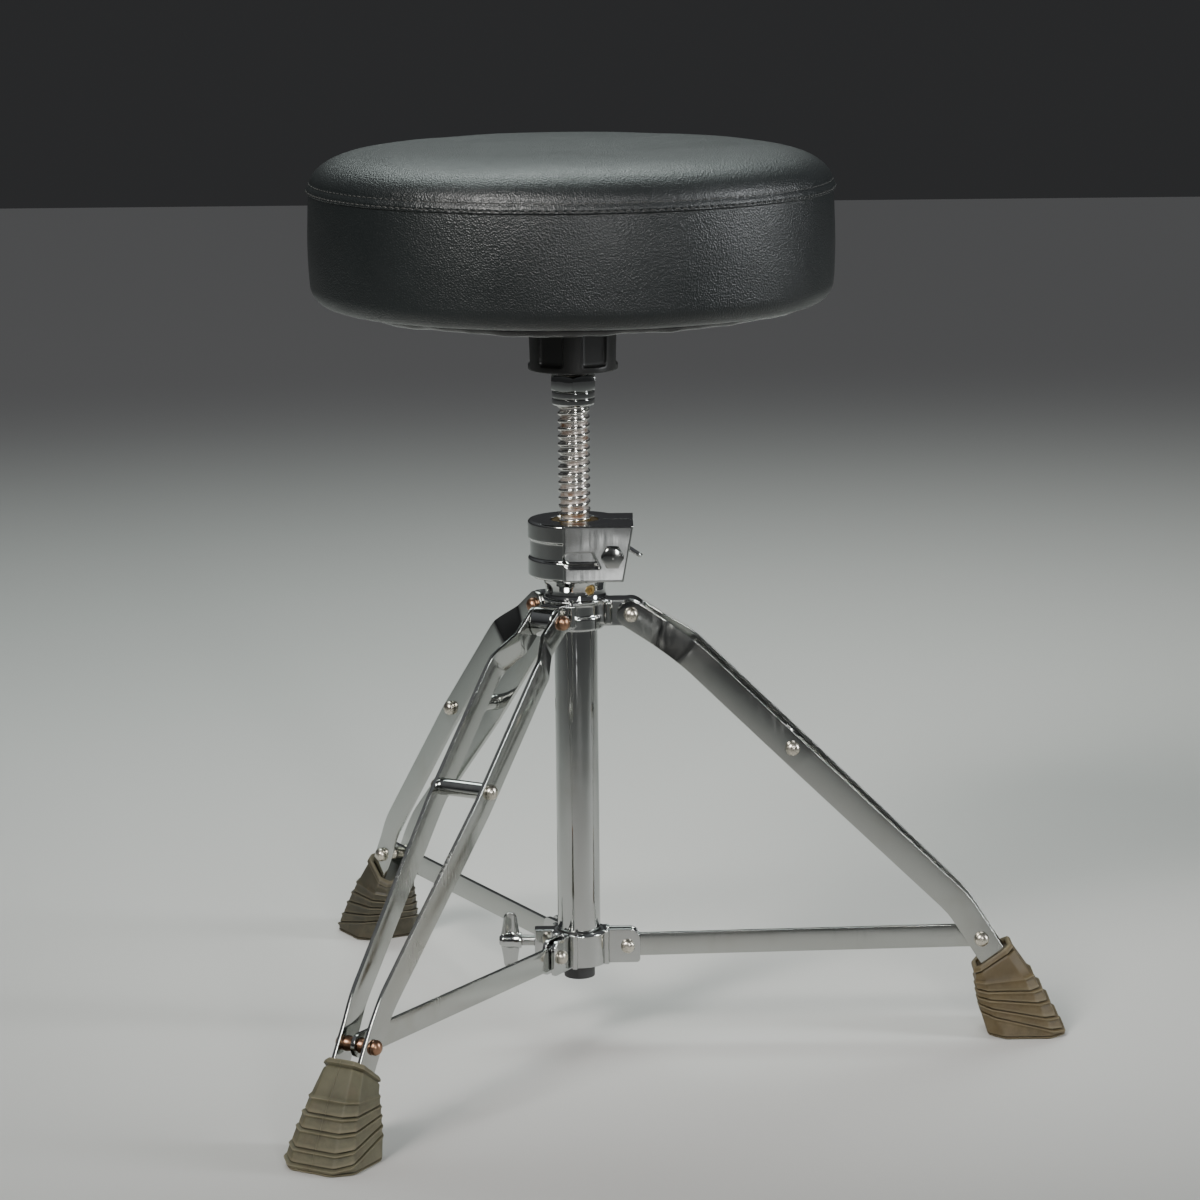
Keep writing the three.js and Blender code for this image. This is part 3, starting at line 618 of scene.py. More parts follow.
def rubber_material(name, colour, dust_and_painted_light_share):
    """Old moulded rubber: mottled brown-green, a pale painted highlight along its ridges' convex edges, dust
    thick near the floor, and painted shade in its creases.
    """
    s = Shader(name, IOR=1.45)
    mottle = s.ramp(s.noise(34, 6, 0.62), 0.3, 0.7)
    stain = s.ramp(s.noise(90, 4, 0.6), 0.48, 0.72)
    base = s.mix(mottle, shade(colour, 0.55), colour)
    base = s.mix(s.math("MULTIPLY", stain, 0.45), base, (0.075, 0.05, 0.028))
    near_floor = s.ramp(s.height(), 0.0, 0.05, 0.7, 0.15)
    settled = s.math("MULTIPLY", s.ramp(s.noise(160, 5, 0.7), 0.35, 0.75), near_floor)
    # Settled dust near the floor, and a painted highlight along the ridges' convex edges; the same pale
    # colour and strength serve both.
    dust = s.math("MULTIPLY", s.math("MAXIMUM", settled, s.edges(0.505, 0.55)), dust_and_painted_light_share)
    base = s.mix(dust, base, (0.23, 0.20, 0.13))
    # Painted shade: the concave creases under the bead and between the bands are painted near black.
    s.set("Base Color", s.mix(s.hollows(0.40, 0.49), base, (0.008, 0.007, 0.005)))
    s.set("Roughness", s.math("MULTIPLY_ADD", dust, 0.3, 0.55))
    s.bump(s.math("MULTIPLY_ADD", s.noise(700, 4), 0.5, mottle), 0.0001, 0.6)
    return s.material


PLY_THICKNESS = 0.0024


def plywood_material():
    """Birch plywood: long grain on the faces and thin dark glue lines round the edge."""
    s = Shader("seat_board", Roughness=0.7)
    grain = s.noise(60, 5, 0.6, stretch=(0.08, 1.0, 1.0))
    plies = s.math("FRACT", s.math("MULTIPLY", s.height(), 1 / PLY_THICKNESS))
    lines = s.math("LESS_THAN", plies, 0.14)
    wood = s.mix(s.ramp(grain, 0.3, 0.7), (0.36, 0.24, 0.14), (0.52, 0.38, 0.24))
    s.set("Base Color", s.mix(s.math("MULTIPLY", lines, 0.5), wood, (0.13, 0.08, 0.045)))
    s.bump(grain, 0.0001, 0.5)
    return s.material


CHROME = chrome_material("polished_chrome")
STRIP_CHROME = chrome_material("plated_strip", (0.45, 0.46, 0.44), 0.8, 0.22, 0.11, 14)
VINYL = vinyl_material()
THREAD = plain_material("stitching_thread", (0.035, 0.035, 0.033), 0.55, 0.0, 400, 0.00005)
CAST_BLACK = plain_material("black_casting", (0.018, 0.018, 0.017), 0.38, 0.0, 90)
NICKEL = plain_material("rivet_nickel", (0.60, 0.56, 0.48), 0.28, 1.0, 160, 0.00002, 0.15)
COPPER = plain_material("rivet_tarnished", (0.33, 0.19, 0.12), 0.32, 1.0, 200, 0.00003, 0.35)
NYLON = plain_material("black_nylon", (0.03, 0.03, 0.03), 0.5)
BRASS = plain_material("insert_brass", (0.55, 0.38, 0.15), 0.3, 1.0)
PLYWOOD = plywood_material()
DUST_COVER = plain_material("dust_cover", (0.009, 0.009, 0.010), 0.2, 0.0, 30, 0.00002)
RUBBERS = [
    rubber_material("foot_rubber_brown", (0.098, 0.067, 0.025), 0.45),
    rubber_material("foot_rubber_dark", (0.040, 0.036, 0.022), 0.3),
    rubber_material("foot_rubber_olive", (0.115, 0.108, 0.062), 0.5),
]
HINGE_RIVETS = [NICKEL, COPPER, COPPER]
LOWER_PINS = [NICKEL, NICKEL, COPPER]

SLOT_MATERIALS = {
    "polished_chrome": CHROME, "rod_steel": rod_material(), "plated_strip": STRIP_CHROME,
    "rivet_nickel": NICKEL, "black_casting": CAST_BLACK, "insert_brass": BRASS, "black_vinyl": VINYL,
    "seat_board": PLYWOOD, "dust_cover": DUST_COVER, "black_nylon": NYLON, "foot_rubber": RUBBERS[0],
}
for node_name, slot_name in NODE_SLOT.items():
    shown = frame["nodes"][node_name]
    shown.data.materials.clear()
    shown.data.materials.append(SLOT_MATERIALS[slot_name])

# ------------------------------------------------------------------ seat

STITCHES = 206  # round the seam, in each of its two rows
SEAM_HEIGHT = SEAT_LOW.z + 79.6
SEAM_RADIUS = SEAT_HIGH.x - 1.3
CROWN_RISE = 3.0
SHOULDER_RISE = SEAT_HIGH.z - SEAM_HEIGHT - CROWN_RISE
LAP_HEIGHT = SEAM_HEIGHT - 6.6  # lower edge of the cap, lapped over the band
LAP_RADIUS = SEAT_HIGH.x + 0.9
BAND_RADIUS = SEAT_HIGH.x - 0.5
SEAT_CORNER = 14
BOARD_HIGH = local_box("seat_base_board")[1]
COLUMNS_PER_STITCH = 4
SKIN_COLUMNS = STITCHES * COLUMNS_PER_STITCH
LAP_STITCHING = LAP_HEIGHT + 1.0
NEEDLE_HOLE = 1.1  # how deep each needle hole pulls the vinyl in


def dome_profile(steps):
    """From the crown out to the seam: nearly flat, with a quickly rounded shoulder."""
    points = []
    for i in range(steps + 1):
        share = math.sin(math.pi / 2 * (i / steps) ** 0.8)
        rise = SHOULDER_RISE * (1 - share**9) ** (1 / 1.55) + CROWN_RISE * (1 - share**2)
        points.append((SEAM_RADIUS * share, SEAM_HEIGHT + rise))
    return points


def band_profile(steps):
    """From under the lapped cap down to the seat's lower edge: the band bulges a little at half height."""
    top = LAP_HEIGHT - 0.9
    low = SEAT_LOW.z + SEAT_CORNER
    points = []
    for i in range(steps + 1):
        share = i / steps
        bulge = 1.1 * math.sin(math.pi * share) ** 0.8
        points.append((BAND_RADIUS - 0.2 * (1 - share) + bulge, top + (low - top) * share))
    return points


def seat_skin():
    """The skin's section from the crown to the hollow for the board: (radius, height) points."""
    points = dome_profile(34)
    points += [(SEAM_RADIUS + 0.25, SEAM_HEIGHT - 0.35), (SEAM_RADIUS + 0.05, SEAM_HEIGHT - 0.9)]
    points += [(SEAM_RADIUS + 0.45, SEAM_HEIGHT - 1.6), (LAP_RADIUS - 0.75, SEAM_HEIGHT - 2.9)]
    points += [(LAP_RADIUS - 0.3, SEAM_HEIGHT - 4.2), (LAP_RADIUS - 0.15, LAP_HEIGHT + 1.7)]
    points += [(LAP_RADIUS - 0.35, LAP_STITCHING), (LAP_RADIUS - 0.1, LAP_HEIGHT + 0.4)]
    points += [(LAP_RADIUS - 0.3, LAP_HEIGHT - 0.3), (LAP_RADIUS - 0.9, LAP_HEIGHT - 0.6)]
    points += band_profile(18)
    centre = (BAND_RADIUS - SEAT_CORNER, SEAT_LOW.z + SEAT_CORNER)
    points += arc(centre, SEAT_CORNER, 0, -90, 8)[1:]
    inner = BOARD_HIGH.x + 0.4
    points += [(inner + 1.5, SEAT_LOW.z + 0.1), (inner, SEAT_LOW.z + 1.2), (inner, BOARD_HIGH.z + 0.4)]
    points += [(0, BOARD_HIGH.z + 0.4)]
    return points


def unevenness(radius, height, angle):
    """How far the vinyl stands out from its plain round shape here: slow waves from the foam, and small
    gathers that die away from the seam."""
    along = Vector(polar(1, angle, 0))
    slow = 0.55 * noise.noise(along * 1.9 + Vector((0, 0, height / 55)))
    away = abs(height - (SEAM_HEIGHT + LAP_HEIGHT) / 2)
    fine = noise.noise(along * 13 + Vector((0, 0, height / 16)))
    finer = noise.noise(along * 34 + Vector((3, 0, height / 9)))
    gathers = (0.34 * fine + 0.2 * finer) * math.exp(-((away / 9) ** 2))
    folds = 0.22 * noise.noise(along * 6 + Vector((7, 0, height / 22)))
    share = min(1, max(0, (radius - 120) / 45))
    return (slow + folds) * share + gathers


def dents(radius, angle):
    """Slow dips and rises of the seat's top, where people have sat."""
    place = Vector(polar(radius, angle, 0))
    broad = noise.noise(place / 85 + Vector((5, 2, 0)))
    small = noise.noise(place / 34)
    edge = 1 - min(1, max(0, (radius - 140) / 28))
    return (0.9 * broad + 0.28 * small - 0.5) * edge


def skin_rows(section, columns):
    """The skin as rows of points in millimetres, one row for each point of its section."""
    rows = []
    outside = len(section) - 3
    for i, (radius, height) in enumerate(section):
        row = []
        for j, angle in enumerate(full_turn(columns)):
            out = radius
            up = height
            if 0 < i < outside and radius > 1:
                out += unevenness(radius, height, angle)
            if height > SEAM_HEIGHT:
                up += dents(radius, angle)
            if j % COLUMNS_PER_STITCH == 0 and radius > SEAM_RADIUS - 1:
                out -= NEEDLE_HOLE * math.exp(-(((height - LAP_STITCHING) / 0.5) ** 2))
            row.append(Vector(polar(out, angle, up)))
        rows.append(row)
    return rows


FOAM_HOLD = 0.3  # how firmly the foam behind the vinyl holds it, against free cloth at 0
SWELL_CAP = 1.5  # the farthest that a point may move
SWELL_COLUMNS = 96
SWELL_FRAMES = 20


def swelling(section):
    """Inflates a coarse copy of the skin as cloth, held along the seam and the lower edge, and gives how
    far each of its points moved, in rows like the section's. The section leaves out the crown's middle
    point, since cloth with points on one spot doesn't move at all."""
    rows = skin_rows(section, SWELL_COLUMNS)
    mesh = bpy.data.meshes.new("swelling")
    corners = [tuple(point * MM) for row in rows for point in row]
    faces = []
    for i in range(len(rows) - 1):
        for j in range(SWELL_COLUMNS):
            k = (j + 1) % SWELL_COLUMNS
            start = i * SWELL_COLUMNS
            faces.append((start + j, start + SWELL_COLUMNS + j, start + SWELL_COLUMNS + k, start + k))
    mesh.from_pydata(corners, [], faces)
    obj = add_object("swelling", mesh)
    held = obj.vertex_groups.new(name="held")
    for i, (radius, height) in enumerate(section):
        on_seam = LAP_HEIGHT - 2 < height < SEAM_HEIGHT + 1
        at_end = i == len(section) - 1
        weight = 1.0 if on_seam or at_end else FOAM_HOLD
        held.add(range(i * SWELL_COLUMNS, (i + 1) * SWELL_COLUMNS), weight, "REPLACE")
    cloth = obj.modifiers.new("cloth", "CLOTH")
    settings = cloth.settings
    settings.vertex_group_mass = "held"
    settings.pin_stiffness = 1.0
    settings.quality = 6
    settings.mass = 0.4
    settings.tension_stiffness = 40
    settings.compression_stiffness = 40
    settings.shear_stiffness = 20
    settings.bending_stiffness = 4
    settings.use_pressure = True
    settings.uniform_pressure_force = 4
    settings.effector_weights.gravity = 0
    cloth.point_cache.frame_start = 1
    cloth.point_cache.frame_end = SWELL_FRAMES
    scene = bpy.context.scene
    for step in range(SWELL_FRAMES):
        scene.frame_set(step + 1)
    shape = obj.evaluated_get(bpy.context.evaluated_depsgraph_get()).data
    moves = []
    for i in range(len(rows)):
        row = []
        for j in range(SWELL_COLUMNS):
            move = shape.vertices[i * SWELL_COLUMNS + j].co / MM - rows[i][j]
            size = move.length
            row.append(move * (SWELL_CAP * math.tanh(size / SWELL_CAP) / size) if size > 1e-6 else move)
        moves.append(row)
    scene.frame_set(1)
    bpy.data.objects.remove(obj)
    return moves


def add_seat_cushion():
    section = seat_skin()
    rows = skin_rows(section, SKIN_COLUMNS)
    swollen = range(1, len(section) - 3)
    moves = swelling([section[i] for i in swollen])
    middle = sum(moves[0], Vector()) / SWELL_COLUMNS
    rows[0] = [point + middle for point in rows[0]]
    for i in swollen:
        for j in range(SKIN_COLUMNS):
            place = j * SWELL_COLUMNS / SKIN_COLUMNS
            k = int(place)
            rows[i][j] += moves[i - 1][k].lerp(moves[i - 1][(k + 1) % SWELL_COLUMNS], place - k)
    bm = bmesh.new()
    made = []
    for row in rows:
        flat = max((point - row[0]).length for point in row) < 0.01
        points = [row[0]] if flat else row
        made.append([bm.verts.new(point) for point in points])
    for upper, lower in zip(made, made[1:]):
        bridge(bm, upper, lower)
    cushion = stand_for("seat_cushion", bm, sharp=60)
    return section, rows


def add_stitches(section, rows):
    """Two rows of thread: one on the seam's ridge and one just above the lapped edge."""
    thread_radius = 0.42
    sides = 6
    bm = bmesh.new()
    spacing = 2 * math.pi / STITCHES
    up = Vector((0, 0, 1))
    for target in (SEAM_HEIGHT - 0.9, LAP_STITCHING):
        i = min(range(len(section)), key=lambda n: abs(section[n][1] - target) + (section[n][0] < 150) * 99)
        for n in range(STITCHES):
            rings = []
            for step in range(7):
                share = step / 6
                at = n + 0.12 + 0.76 * share
                column = at * COLUMNS_PER_STITCH
                k = int(column)
                point = rows[i][k % SKIN_COLUMNS].lerp(rows[i][(k + 1) % SKIN_COLUMNS], column - k)
                outward = Vector(polar(1, spacing * at, 0.35)).normalized()
                lift = 0.32 * math.sin(math.pi * share) - 0.12
                size = thread_radius * (0.35 + 0.65 * math.sin(math.pi * share) ** 0.4)
                middle = point + outward * lift
                turns = full_turn(sides)
                rings.append([middle + size * (outward * math.cos(a) + up * math.sin(a)) for a in turns])
            add_loft(bm, rings)
    piece("seat_stitches", bm, COLUMN, THREAD, "seat", sharp=80)


COVER_RADIUS = local_box("seat_bottom_cover")[1].x
COVER_HEIGHT = local_box("seat_bottom_cover")[0].z
COVER_THICKNESS = 0.5
# How far in from the cover's edge each ring of points is, closest together where it curves most.
COVER_RINGS = [0, 0.7, 1.4, 2.2, 3.0, 4.0, 5.0, 6.5, 8.5, 11, 14, 18, 23, 29, 36, 44, 53, 64]
COVER_MIDDLE_RADII = [70, 52, 44]


def cover_droop(radius, angle):
    """How far the dust cover hangs below its tacked edge: most just inside it, in slow uneven waves."""
    inward = COVER_RADIUS - radius
    front = math.cos(angle + math.pi / 2)
    around = Vector(polar(1, angle, 0))
    depth = 2.9 + 1.4 * front**5 + 1.3 * noise.noise(around * 2.6) + 0.8 * noise.noise(around * 6.5)
    if inward < 5:
        share = math.sin(math.pi / 2 * inward / 5) ** 0.8
    else:
        share = 0.5 + 0.5 * math.cos(math.pi * min(1, (inward - 5) / 52))
    tacks = 0.35 * math.cos(angle * 44) * math.exp(-inward / 6)
    creases = 0.5 * noise.noise(around * 11 + Vector((0, 0, radius / 26))) * math.exp(-inward / 30)
    return max(0, (depth + creases) * share + tacks * share)


def add_dust_cover():
    """A thin black sheet tacked to the board's underside, sagging below the seat's lower edge."""
    bm = bmesh.new()
    rows = []
    for radius in [COVER_RADIUS - inward for inward in COVER_RINGS] + COVER_MIDDLE_RADII:
        row = []
        for angle in full_turn(264):
            height = COVER_HEIGHT + COVER_THICKNESS / 2 - cover_droop(radius, angle)
            row.append(bm.verts.new(polar(radius, angle, height)))
        rows.append(row)
    for outer, inner in zip(rows, rows[1:]):
        bridge(bm, outer, inner)
    bm.faces.new(rows[-1])
    sheet = stand_for("seat_bottom_cover", bm, sharp=80)
    solidify = sheet.modifiers.new("thickness", "SOLIDIFY")
    solidify.thickness = COVER_THICKNESS * MM
    solidify.offset = 0
    bake_modifiers(sheet)


seat_section, seat_rows = add_seat_cushion()
add_stitches(seat_section, seat_rows)
add_dust_cover()
board_low, board_high = local_box("seat_base_board")
stand_for("seat_base_board", disc(board_high.x, board_low.z, board_high.z, 0.8, 128))

# ------------------------------------------------------------------ rod and seat bracket

ROD_LOW, ROD_HIGH = (corner.z for corner in local_box("threaded_rod"))
THREAD_PITCH = 5.08
THREAD_DEPTH = 1.5
FIT = 0.3  # clearance between neighbouring pieces
BOLT_RADIUS = 4  # every bolt and wing screw is M8
BOLT_HOLE = 4.3
SCREW_SEGMENTS = 48  # round small turned parts and holes


def bolt_thread(low, high):
    return threaded(BOLT_RADIUS, 0.6, 1.25, low, high)


def hexagon_bar(across_corners, low, high, turn, bevel):
    """A hexagonal bar along z with its corners turned off at both ends, as on a nut."""
    radius = across_corners / 2
    corners = [math.radians(60 * i + turn) for i in range(6)]
    bar = loft([[polar(radius, angle, z) for angle in corners] for z in (low, high)])
    top = radius - bevel * 1.9
    wide = radius + 0.1
    cone = lathe([(0, low), (top, low), (wide, low + bevel), (wide, high - bevel), (top, high), (0, high)])
    return boolean(bar, [cone], "INTERSECT")


def add_rod():
    rod = threaded(ROD_RADIUS, THREAD_DEPTH, THREAD_PITCH, ROD_LOW, ROD_HIGH, 64)
    stand_for("threaded_rod", rod, sharp=50)
    low, high = local_box("rod_lock_nut")
    corners = high.y - low.y
    bore = disc(ROD_RADIUS + FIT, low.z - 1, high.z + 1)
    nut = carve(hexagon_bar(corners, low.z, high.z, 30, 1.5), bore)
    stand_for("rod_lock_nut", soften(nut, 0.35), sharp=40)
    low, high = local_box("rod_stop_ring")
    middle = (low.z + high.z) / 2
    section = [
        (ROD_RADIUS + FIT, low.z), (high.x - 0.7, low.z), (high.x, low.z + 1), (high.x, middle - 0.7),
        (high.x - 0.7, middle), (high.x, middle + 0.7), (high.x, high.z - 1), (high.x - 0.7, high.z),
        (ROD_RADIUS + FIT, high.z),
    ]
    stand_for("rod_stop_ring", lathe(fillet(section, 0.5, closed=True)), sharp=50)
    low, high = local_box("rod_guide_bush")
    section = [
        (2.3, low.z), (high.x, low.z), (high.x, high.z), (ROD_RADIUS + FIT, high.z),
        (ROD_RADIUS + FIT, ROD_LOW - FIT), (2.3, ROD_LOW - FIT),
    ]
    stand_for("rod_guide_bush", lathe(fillet(section, 0.5, closed=True)))
    low, high = local_box("guide_retaining_screw")
    head = [(0, low.z), (high.x, low.z), (high.x, low.z + 2.5), (2, low.z + 2.5), (2, high.z), (0, high.z)]
    screw = lathe(fillet(head, 0.5), SCREW_SEGMENTS)
    slot = box_mesh((-6, -0.6, low.z - 1), (6, 0.6, low.z + 1.1))
    stand_for("guide_retaining_screw", carve(screw, slot))


BRACKET_LOW, BRACKET_HIGH = local_box("seat_bracket")
BRACKET_SCREWS = [middle_of(f"bracket_screw_{i}") for i in (1, 2, 3, 4)]
WING_AZIMUTH = 62
WING_HEIGHT = 462.5
FLANGE_THICKNESS = 5


def add_bracket():
    """The cast bracket: a screwed flange and a ribbed barrel, with a boss for its wing screw."""
    flange_low = BRACKET_HIGH.z - FLANGE_THICKNESS
    barrel = lathe([
        (0, BRACKET_LOW.z), (29.3, BRACKET_LOW.z), (30.6, flange_low - 2), (32.5, flange_low),
        (48, flange_low), (48, BRACKET_HIGH.z), (0, BRACKET_HIGH.z),
    ])
    boss = turned(disc(8, 20, 38), ALONG_X, moved(0, 0, WING_HEIGHT), about("Z", WING_AZIMUTH))
    body = fuse(barrel, boss)
    cutters = [disc(ROD_RADIUS + FIT, BRACKET_LOW.z - 5, ROD_HIGH + FIT)]
    for azimuth in (-60, 0, 120, 180, 240):
        pocket = box_mesh((26.5, -9, BRACKET_LOW.z + 4), (45, 9, flange_low - 4))
        cutters.append(turned(soften(pocket, 2.2, 3), about("Z", azimuth)))
    for place in BRACKET_SCREWS:
        hole = disc(2.6, flange_low - 2, BRACKET_HIGH.z + 2, segments=24)
        cutters.append(turned(hole, moved(place.x, place.y, 0)))
    stand_for("seat_bracket", melt(carve(body, *cutters), 0.55), sharp=70)
    for i, place in enumerate(BRACKET_SCREWS):
        low, high = local_box(f"bracket_screw_{i + 1}")
        dome = [(0, low.z), (2.2, low.z + 0.1), (3.9, low.z + 1.1), (4.6, low.z + 2.6), (4.6, low.z + 3)]
        screw = lathe([*dome, (2, low.z + 3), (2, high.z - 1), (0, high.z)], 40)
        cross = fuse(box_mesh((-2.3, -0.4, low.z - 1), (2.3, 0.4, low.z + 1.5)),
                     box_mesh((-0.4, -2.3, low.z - 1), (0.4, 2.3, low.z + 1.5)))
        screw = turned(carve(screw, cross), moved(place.x, place.y, 0))
        stand_for(f"bracket_screw_{i + 1}", screw)


# ------------------------------------------------------------------ wing screws and nuts


def leaf(root, tip, hub_radius, reach, thickness):
    """One wing along +x: a leaf that narrows towards its round end, thinner there, with a hollow down
    the middle of each face. The hub's axis is z, and the hub is root long."""
    steps = 16
    rings = []
    end = tip / 2
    for i in range(steps + 1):
        share = i / steps
        x = (reach - end) * share
        half = (root / 2 - 0.3) * (1 - share) ** 1.3 + end * (1 - (1 - share) ** 1.3)
        rings.append((x, half, thickness * (1 - 0.28 * share)))
    for i in range(1, 9):
        a = math.pi / 2 * i / 8.3
        rings.append((reach - end + end * math.sin(a), end * math.cos(a), thickness * 0.72))
    outline = []
    for x, half, thick in rings:
        t = thick / 2
        hollow = 0.75 if hub_radius < x < reach - end * 0.5 else 0.0
        face = [(-1, t * 0.55), (-0.8, t), (-0.5, t), (-0.2, t - hollow)]
        face += [(-share, y) for share, y in reversed(face)]
        section = [(x, -y, root / 2 + half * share) for share, y in face]
        section += [(x, y, root / 2 + half * share) for share, y in reversed(face)]
        outline.append(section)
    return loft(outline)


def wing_head(hub_radius, hub_length, reach, thickness=3.4):
    """The cast part of a wing screw or nut along +z: a waisted hub and two leaves."""
    waist = [(0, 0), (0.95, 0), (1, 0.12), (0.88, 0.35), (0.86, 0.65), (0.8, 0.85), (0.5, 1), (0, 1)]
    hub = lathe([(hub_radius * out, hub_length * up) for out, up in waist], 64)
    tip = hub_length * 0.62
    wings = [turned(leaf(hub_length, tip, hub_radius, reach, thickness), about("Z", a)) for a in (0, 180)]
    return fuse(hub, *wings)


def heap(*meshes):
    """Several meshes in one, without joining them."""
    whole = bmesh.new()
    for bm in meshes:
        mesh = mesh_of(bm)
        whole.from_mesh(mesh)
        bpy.data.meshes.remove(mesh)
    return whole


def add_wing_screw(node, hub_length, reach, shank_length, *to_place):
    cast = melt(wing_head(5.5, hub_length, reach), 0.3, 5)
    screw = turned(heap(cast, bolt_thread(-shank_length, 0.5)), *to_place)
    stand_for(node, screw, sharp=60)


COLLAR_WING_HEIGHT = 65

add_rod()
add_bracket()
add_wing_screw("collar_wing_bolt", 15, 19.5, 21.6, about("Y", -90), moved(-38.6, 0, COLLAR_WING_HEIGHT))
bracket_boss = (about("Z", WING_AZIMUTH), moved(0, 0, WING_HEIGHT))
add_wing_screw("bracket_wing_bolt", 12, 15.5, 29.4, about("Z", 14), ALONG_X, moved(40.6, 0, 0), *bracket_boss)

# ------------------------------------------------------------------ centre tube, clamp and hub

TUBE = local_box("main_tube")
TUBE_RADIUS = TUBE[1].x
TUBE_WALL = 2
CLAMP_RADIUS = 30.9
CLAMP_BOTTOM = 314.2
GROOVE = (326.4, 339.6)
GROOVE_DEPTH = 1.4
SPLIT = (-6.5, -3.5)
BOLT = middle_of("clamp_washer")
NECK_RADIUS = 20.7
HUB_LOW, HUB_HIGH = local_box("upper_leg_hub")
SET_SCREWS = (211, 300)
SET_SCREW_HEIGHT = 306.6
INSERT_RADIUS = 15.4
INSERT_LOW = 316


def add_tube():
    stand_for("main_tube", tube(TUBE_RADIUS - TUBE_WALL, TUBE_RADIUS, TUBE[0].z, TUBE[1].z, 0.5, 128))
    low = local_box("tube_end_plug")[0].z
    inside = TUBE_RADIUS - TUBE_WALL - FIT
    end = TUBE[0].z
    section = [
        (0, low + 1.2), (4, low + 1.2), (5, low), (10.3, low), (10.3, end - 1.5), (11.8, end - 1.2),
        (11.8, end - 0.3), (inside, end + FIT), (inside, end + 12), (0, end + 12),
    ]
    stand_for("tube_end_plug", lathe(fillet(section, 0.7)))


def slot_outline(left, right, low, high):
    """The window in the clamp's face: round at its left end, with a slanted right end."""
    radius = (high - low) / 2
    round_end = arc((left + radius, low + radius), radius, 90, 270, 14)
    return [(right, low), (right - radius, high), *round_end]


def radial(bm, azimuth, height):
    """Turns a shape made along z so that it runs out from the axis."""
    return turned(bm, ALONG_X, about("Z", azimuth), moved(0, 0, height))


def add_clamp():
    """The split casting: a round body with a wide shallow groove, a flat-faced lug and a bell-like neck."""
    top, bottom, hub = CLAMP_HIGH.z, CLAMP_BOTTOM, HUB_HIGH.z
    groove_low, groove_high = GROOVE
    sunk = CLAMP_RADIUS - GROOVE_DEPTH
    body = lathe([
        (0, bottom), (CLAMP_RADIUS - 1.2, bottom), (CLAMP_RADIUS, bottom + 1.2), (CLAMP_RADIUS, groove_low),
        (sunk, groove_low + 0.8), (sunk, groove_high - 0.8), (CLAMP_RADIUS, groove_high),
        (CLAMP_RADIUS, top - 1.2), (CLAMP_RADIUS - 1.2, top), (0, top),
    ], 128)
    lug_low, lug_high = bottom + 0.07, top - 0.07  # a little inside the body's two ends
    lug_outline = [(-7.3, lug_low), (31.6, lug_low), (CLAMP_HIGH.x, lug_high), (-7.3, lug_high)]
    lug = prism(lug_outline, -CLAMP_RADIUS, 20)
    boss = turned(disc(9, 0, 31.4), ALONG_Y, moved(BOLT.x, 0, BOLT.z))
    bell = lathe([
        (0, hub + FIT), (NECK_RADIUS, hub + FIT), (NECK_RADIUS - 0.9, hub + 3), (NECK_RADIUS - 1, hub + 6),
        (NECK_RADIUS - 0.2, hub + 9.5), (NECK_RADIUS + 2.2, bottom - 2), (NECK_RADIUS + 5.5, bottom + 1),
        (0, bottom + 1),
    ])
    casting = fuse(body, lug, boss, bell)
    socket_top = TUBE[1].z + FIT
    passage = lathe([
        (0, hub - 1), (TUBE_RADIUS + FIT, hub - 1), (TUBE_RADIUS + FIT, socket_top),
        (ROD_RADIUS + 0.6, socket_top), (ROD_RADIUS + 0.6, INSERT_LOW - FIT),
        (INSERT_RADIUS + FIT, INSERT_LOW - FIT), (INSERT_RADIUS + FIT, top + 1), (0, top + 1),
    ], 110)
    cutters = [
        passage,
        box_mesh((12, SPLIT[0], bottom - 1), (45, SPLIT[1], top + 1)),
        turned(disc(BOLT_HOLE, -60, 60, segments=SCREW_SEGMENTS), ALONG_Y, moved(BOLT.x, 0, BOLT.z)),
        prism(slot_outline(-7.8, 16.2, 323.8, 333.7), -40, -19),
    ]
    for azimuth in SET_SCREWS:
        cutters.append(radial(disc(3.6, 10, 30, segments=SCREW_SEGMENTS), azimuth, SET_SCREW_HEIGHT))
    stand_for("height_clamp", melt(carve(casting, *cutters), 0.42, 5), sharp=70)

    low, high = local_box("threaded_insert")
    stand_for("threaded_insert", tube(ROD_RADIUS + FIT, high.x, low.z, high.z, 0.8))
    for i, azimuth in enumerate(SET_SCREWS):
        screw = disc(3.3, TUBE_RADIUS + 2 * FIT, NECK_RADIUS - 1.4, 0.5, SCREW_SEGMENTS)
        socket = hexagon_bar(3.6, NECK_RADIUS - 3.4, NECK_RADIUS + 1, 0, 0.2)
        stand_for(f"neck_set_screw_{i + 1}", radial(carve(screw, socket), azimuth, SET_SCREW_HEIGHT))


def add_clamp_bolt():
    face = -CLAMP_RADIUS - FIT
    head = soften(hexagon_bar(15, 0, 5.5, 0, 0.9), 0.25)
    to_place = (about("X", 90), moved(BOLT.x, face, BOLT.z))
    stand_for("clamp_bolt", turned(heap(head, bolt_thread(-76, 0.2)), *to_place), sharp=40)
    low, high = local_box("clamp_washer")
    washer = tube(BOLT_HOLE, 8, low.y, high.y, 0.25)
    stand_for("clamp_washer", turned(washer, ALONG_Y, moved(BOLT.x, 0, BOLT.z)))
    nut = carve(wing_head(8, 12, 23.5, 3.8), disc(BOLT_HOLE, -2, 20, segments=32))
    to_place = (about("Z", 32), ALONG_Y, moved(BOLT.x, high.y + 0.5, BOLT.z))
    stand_for("clamp_wing_nut", turned(melt(nut, 0.32, 5), *to_place), sharp=70)


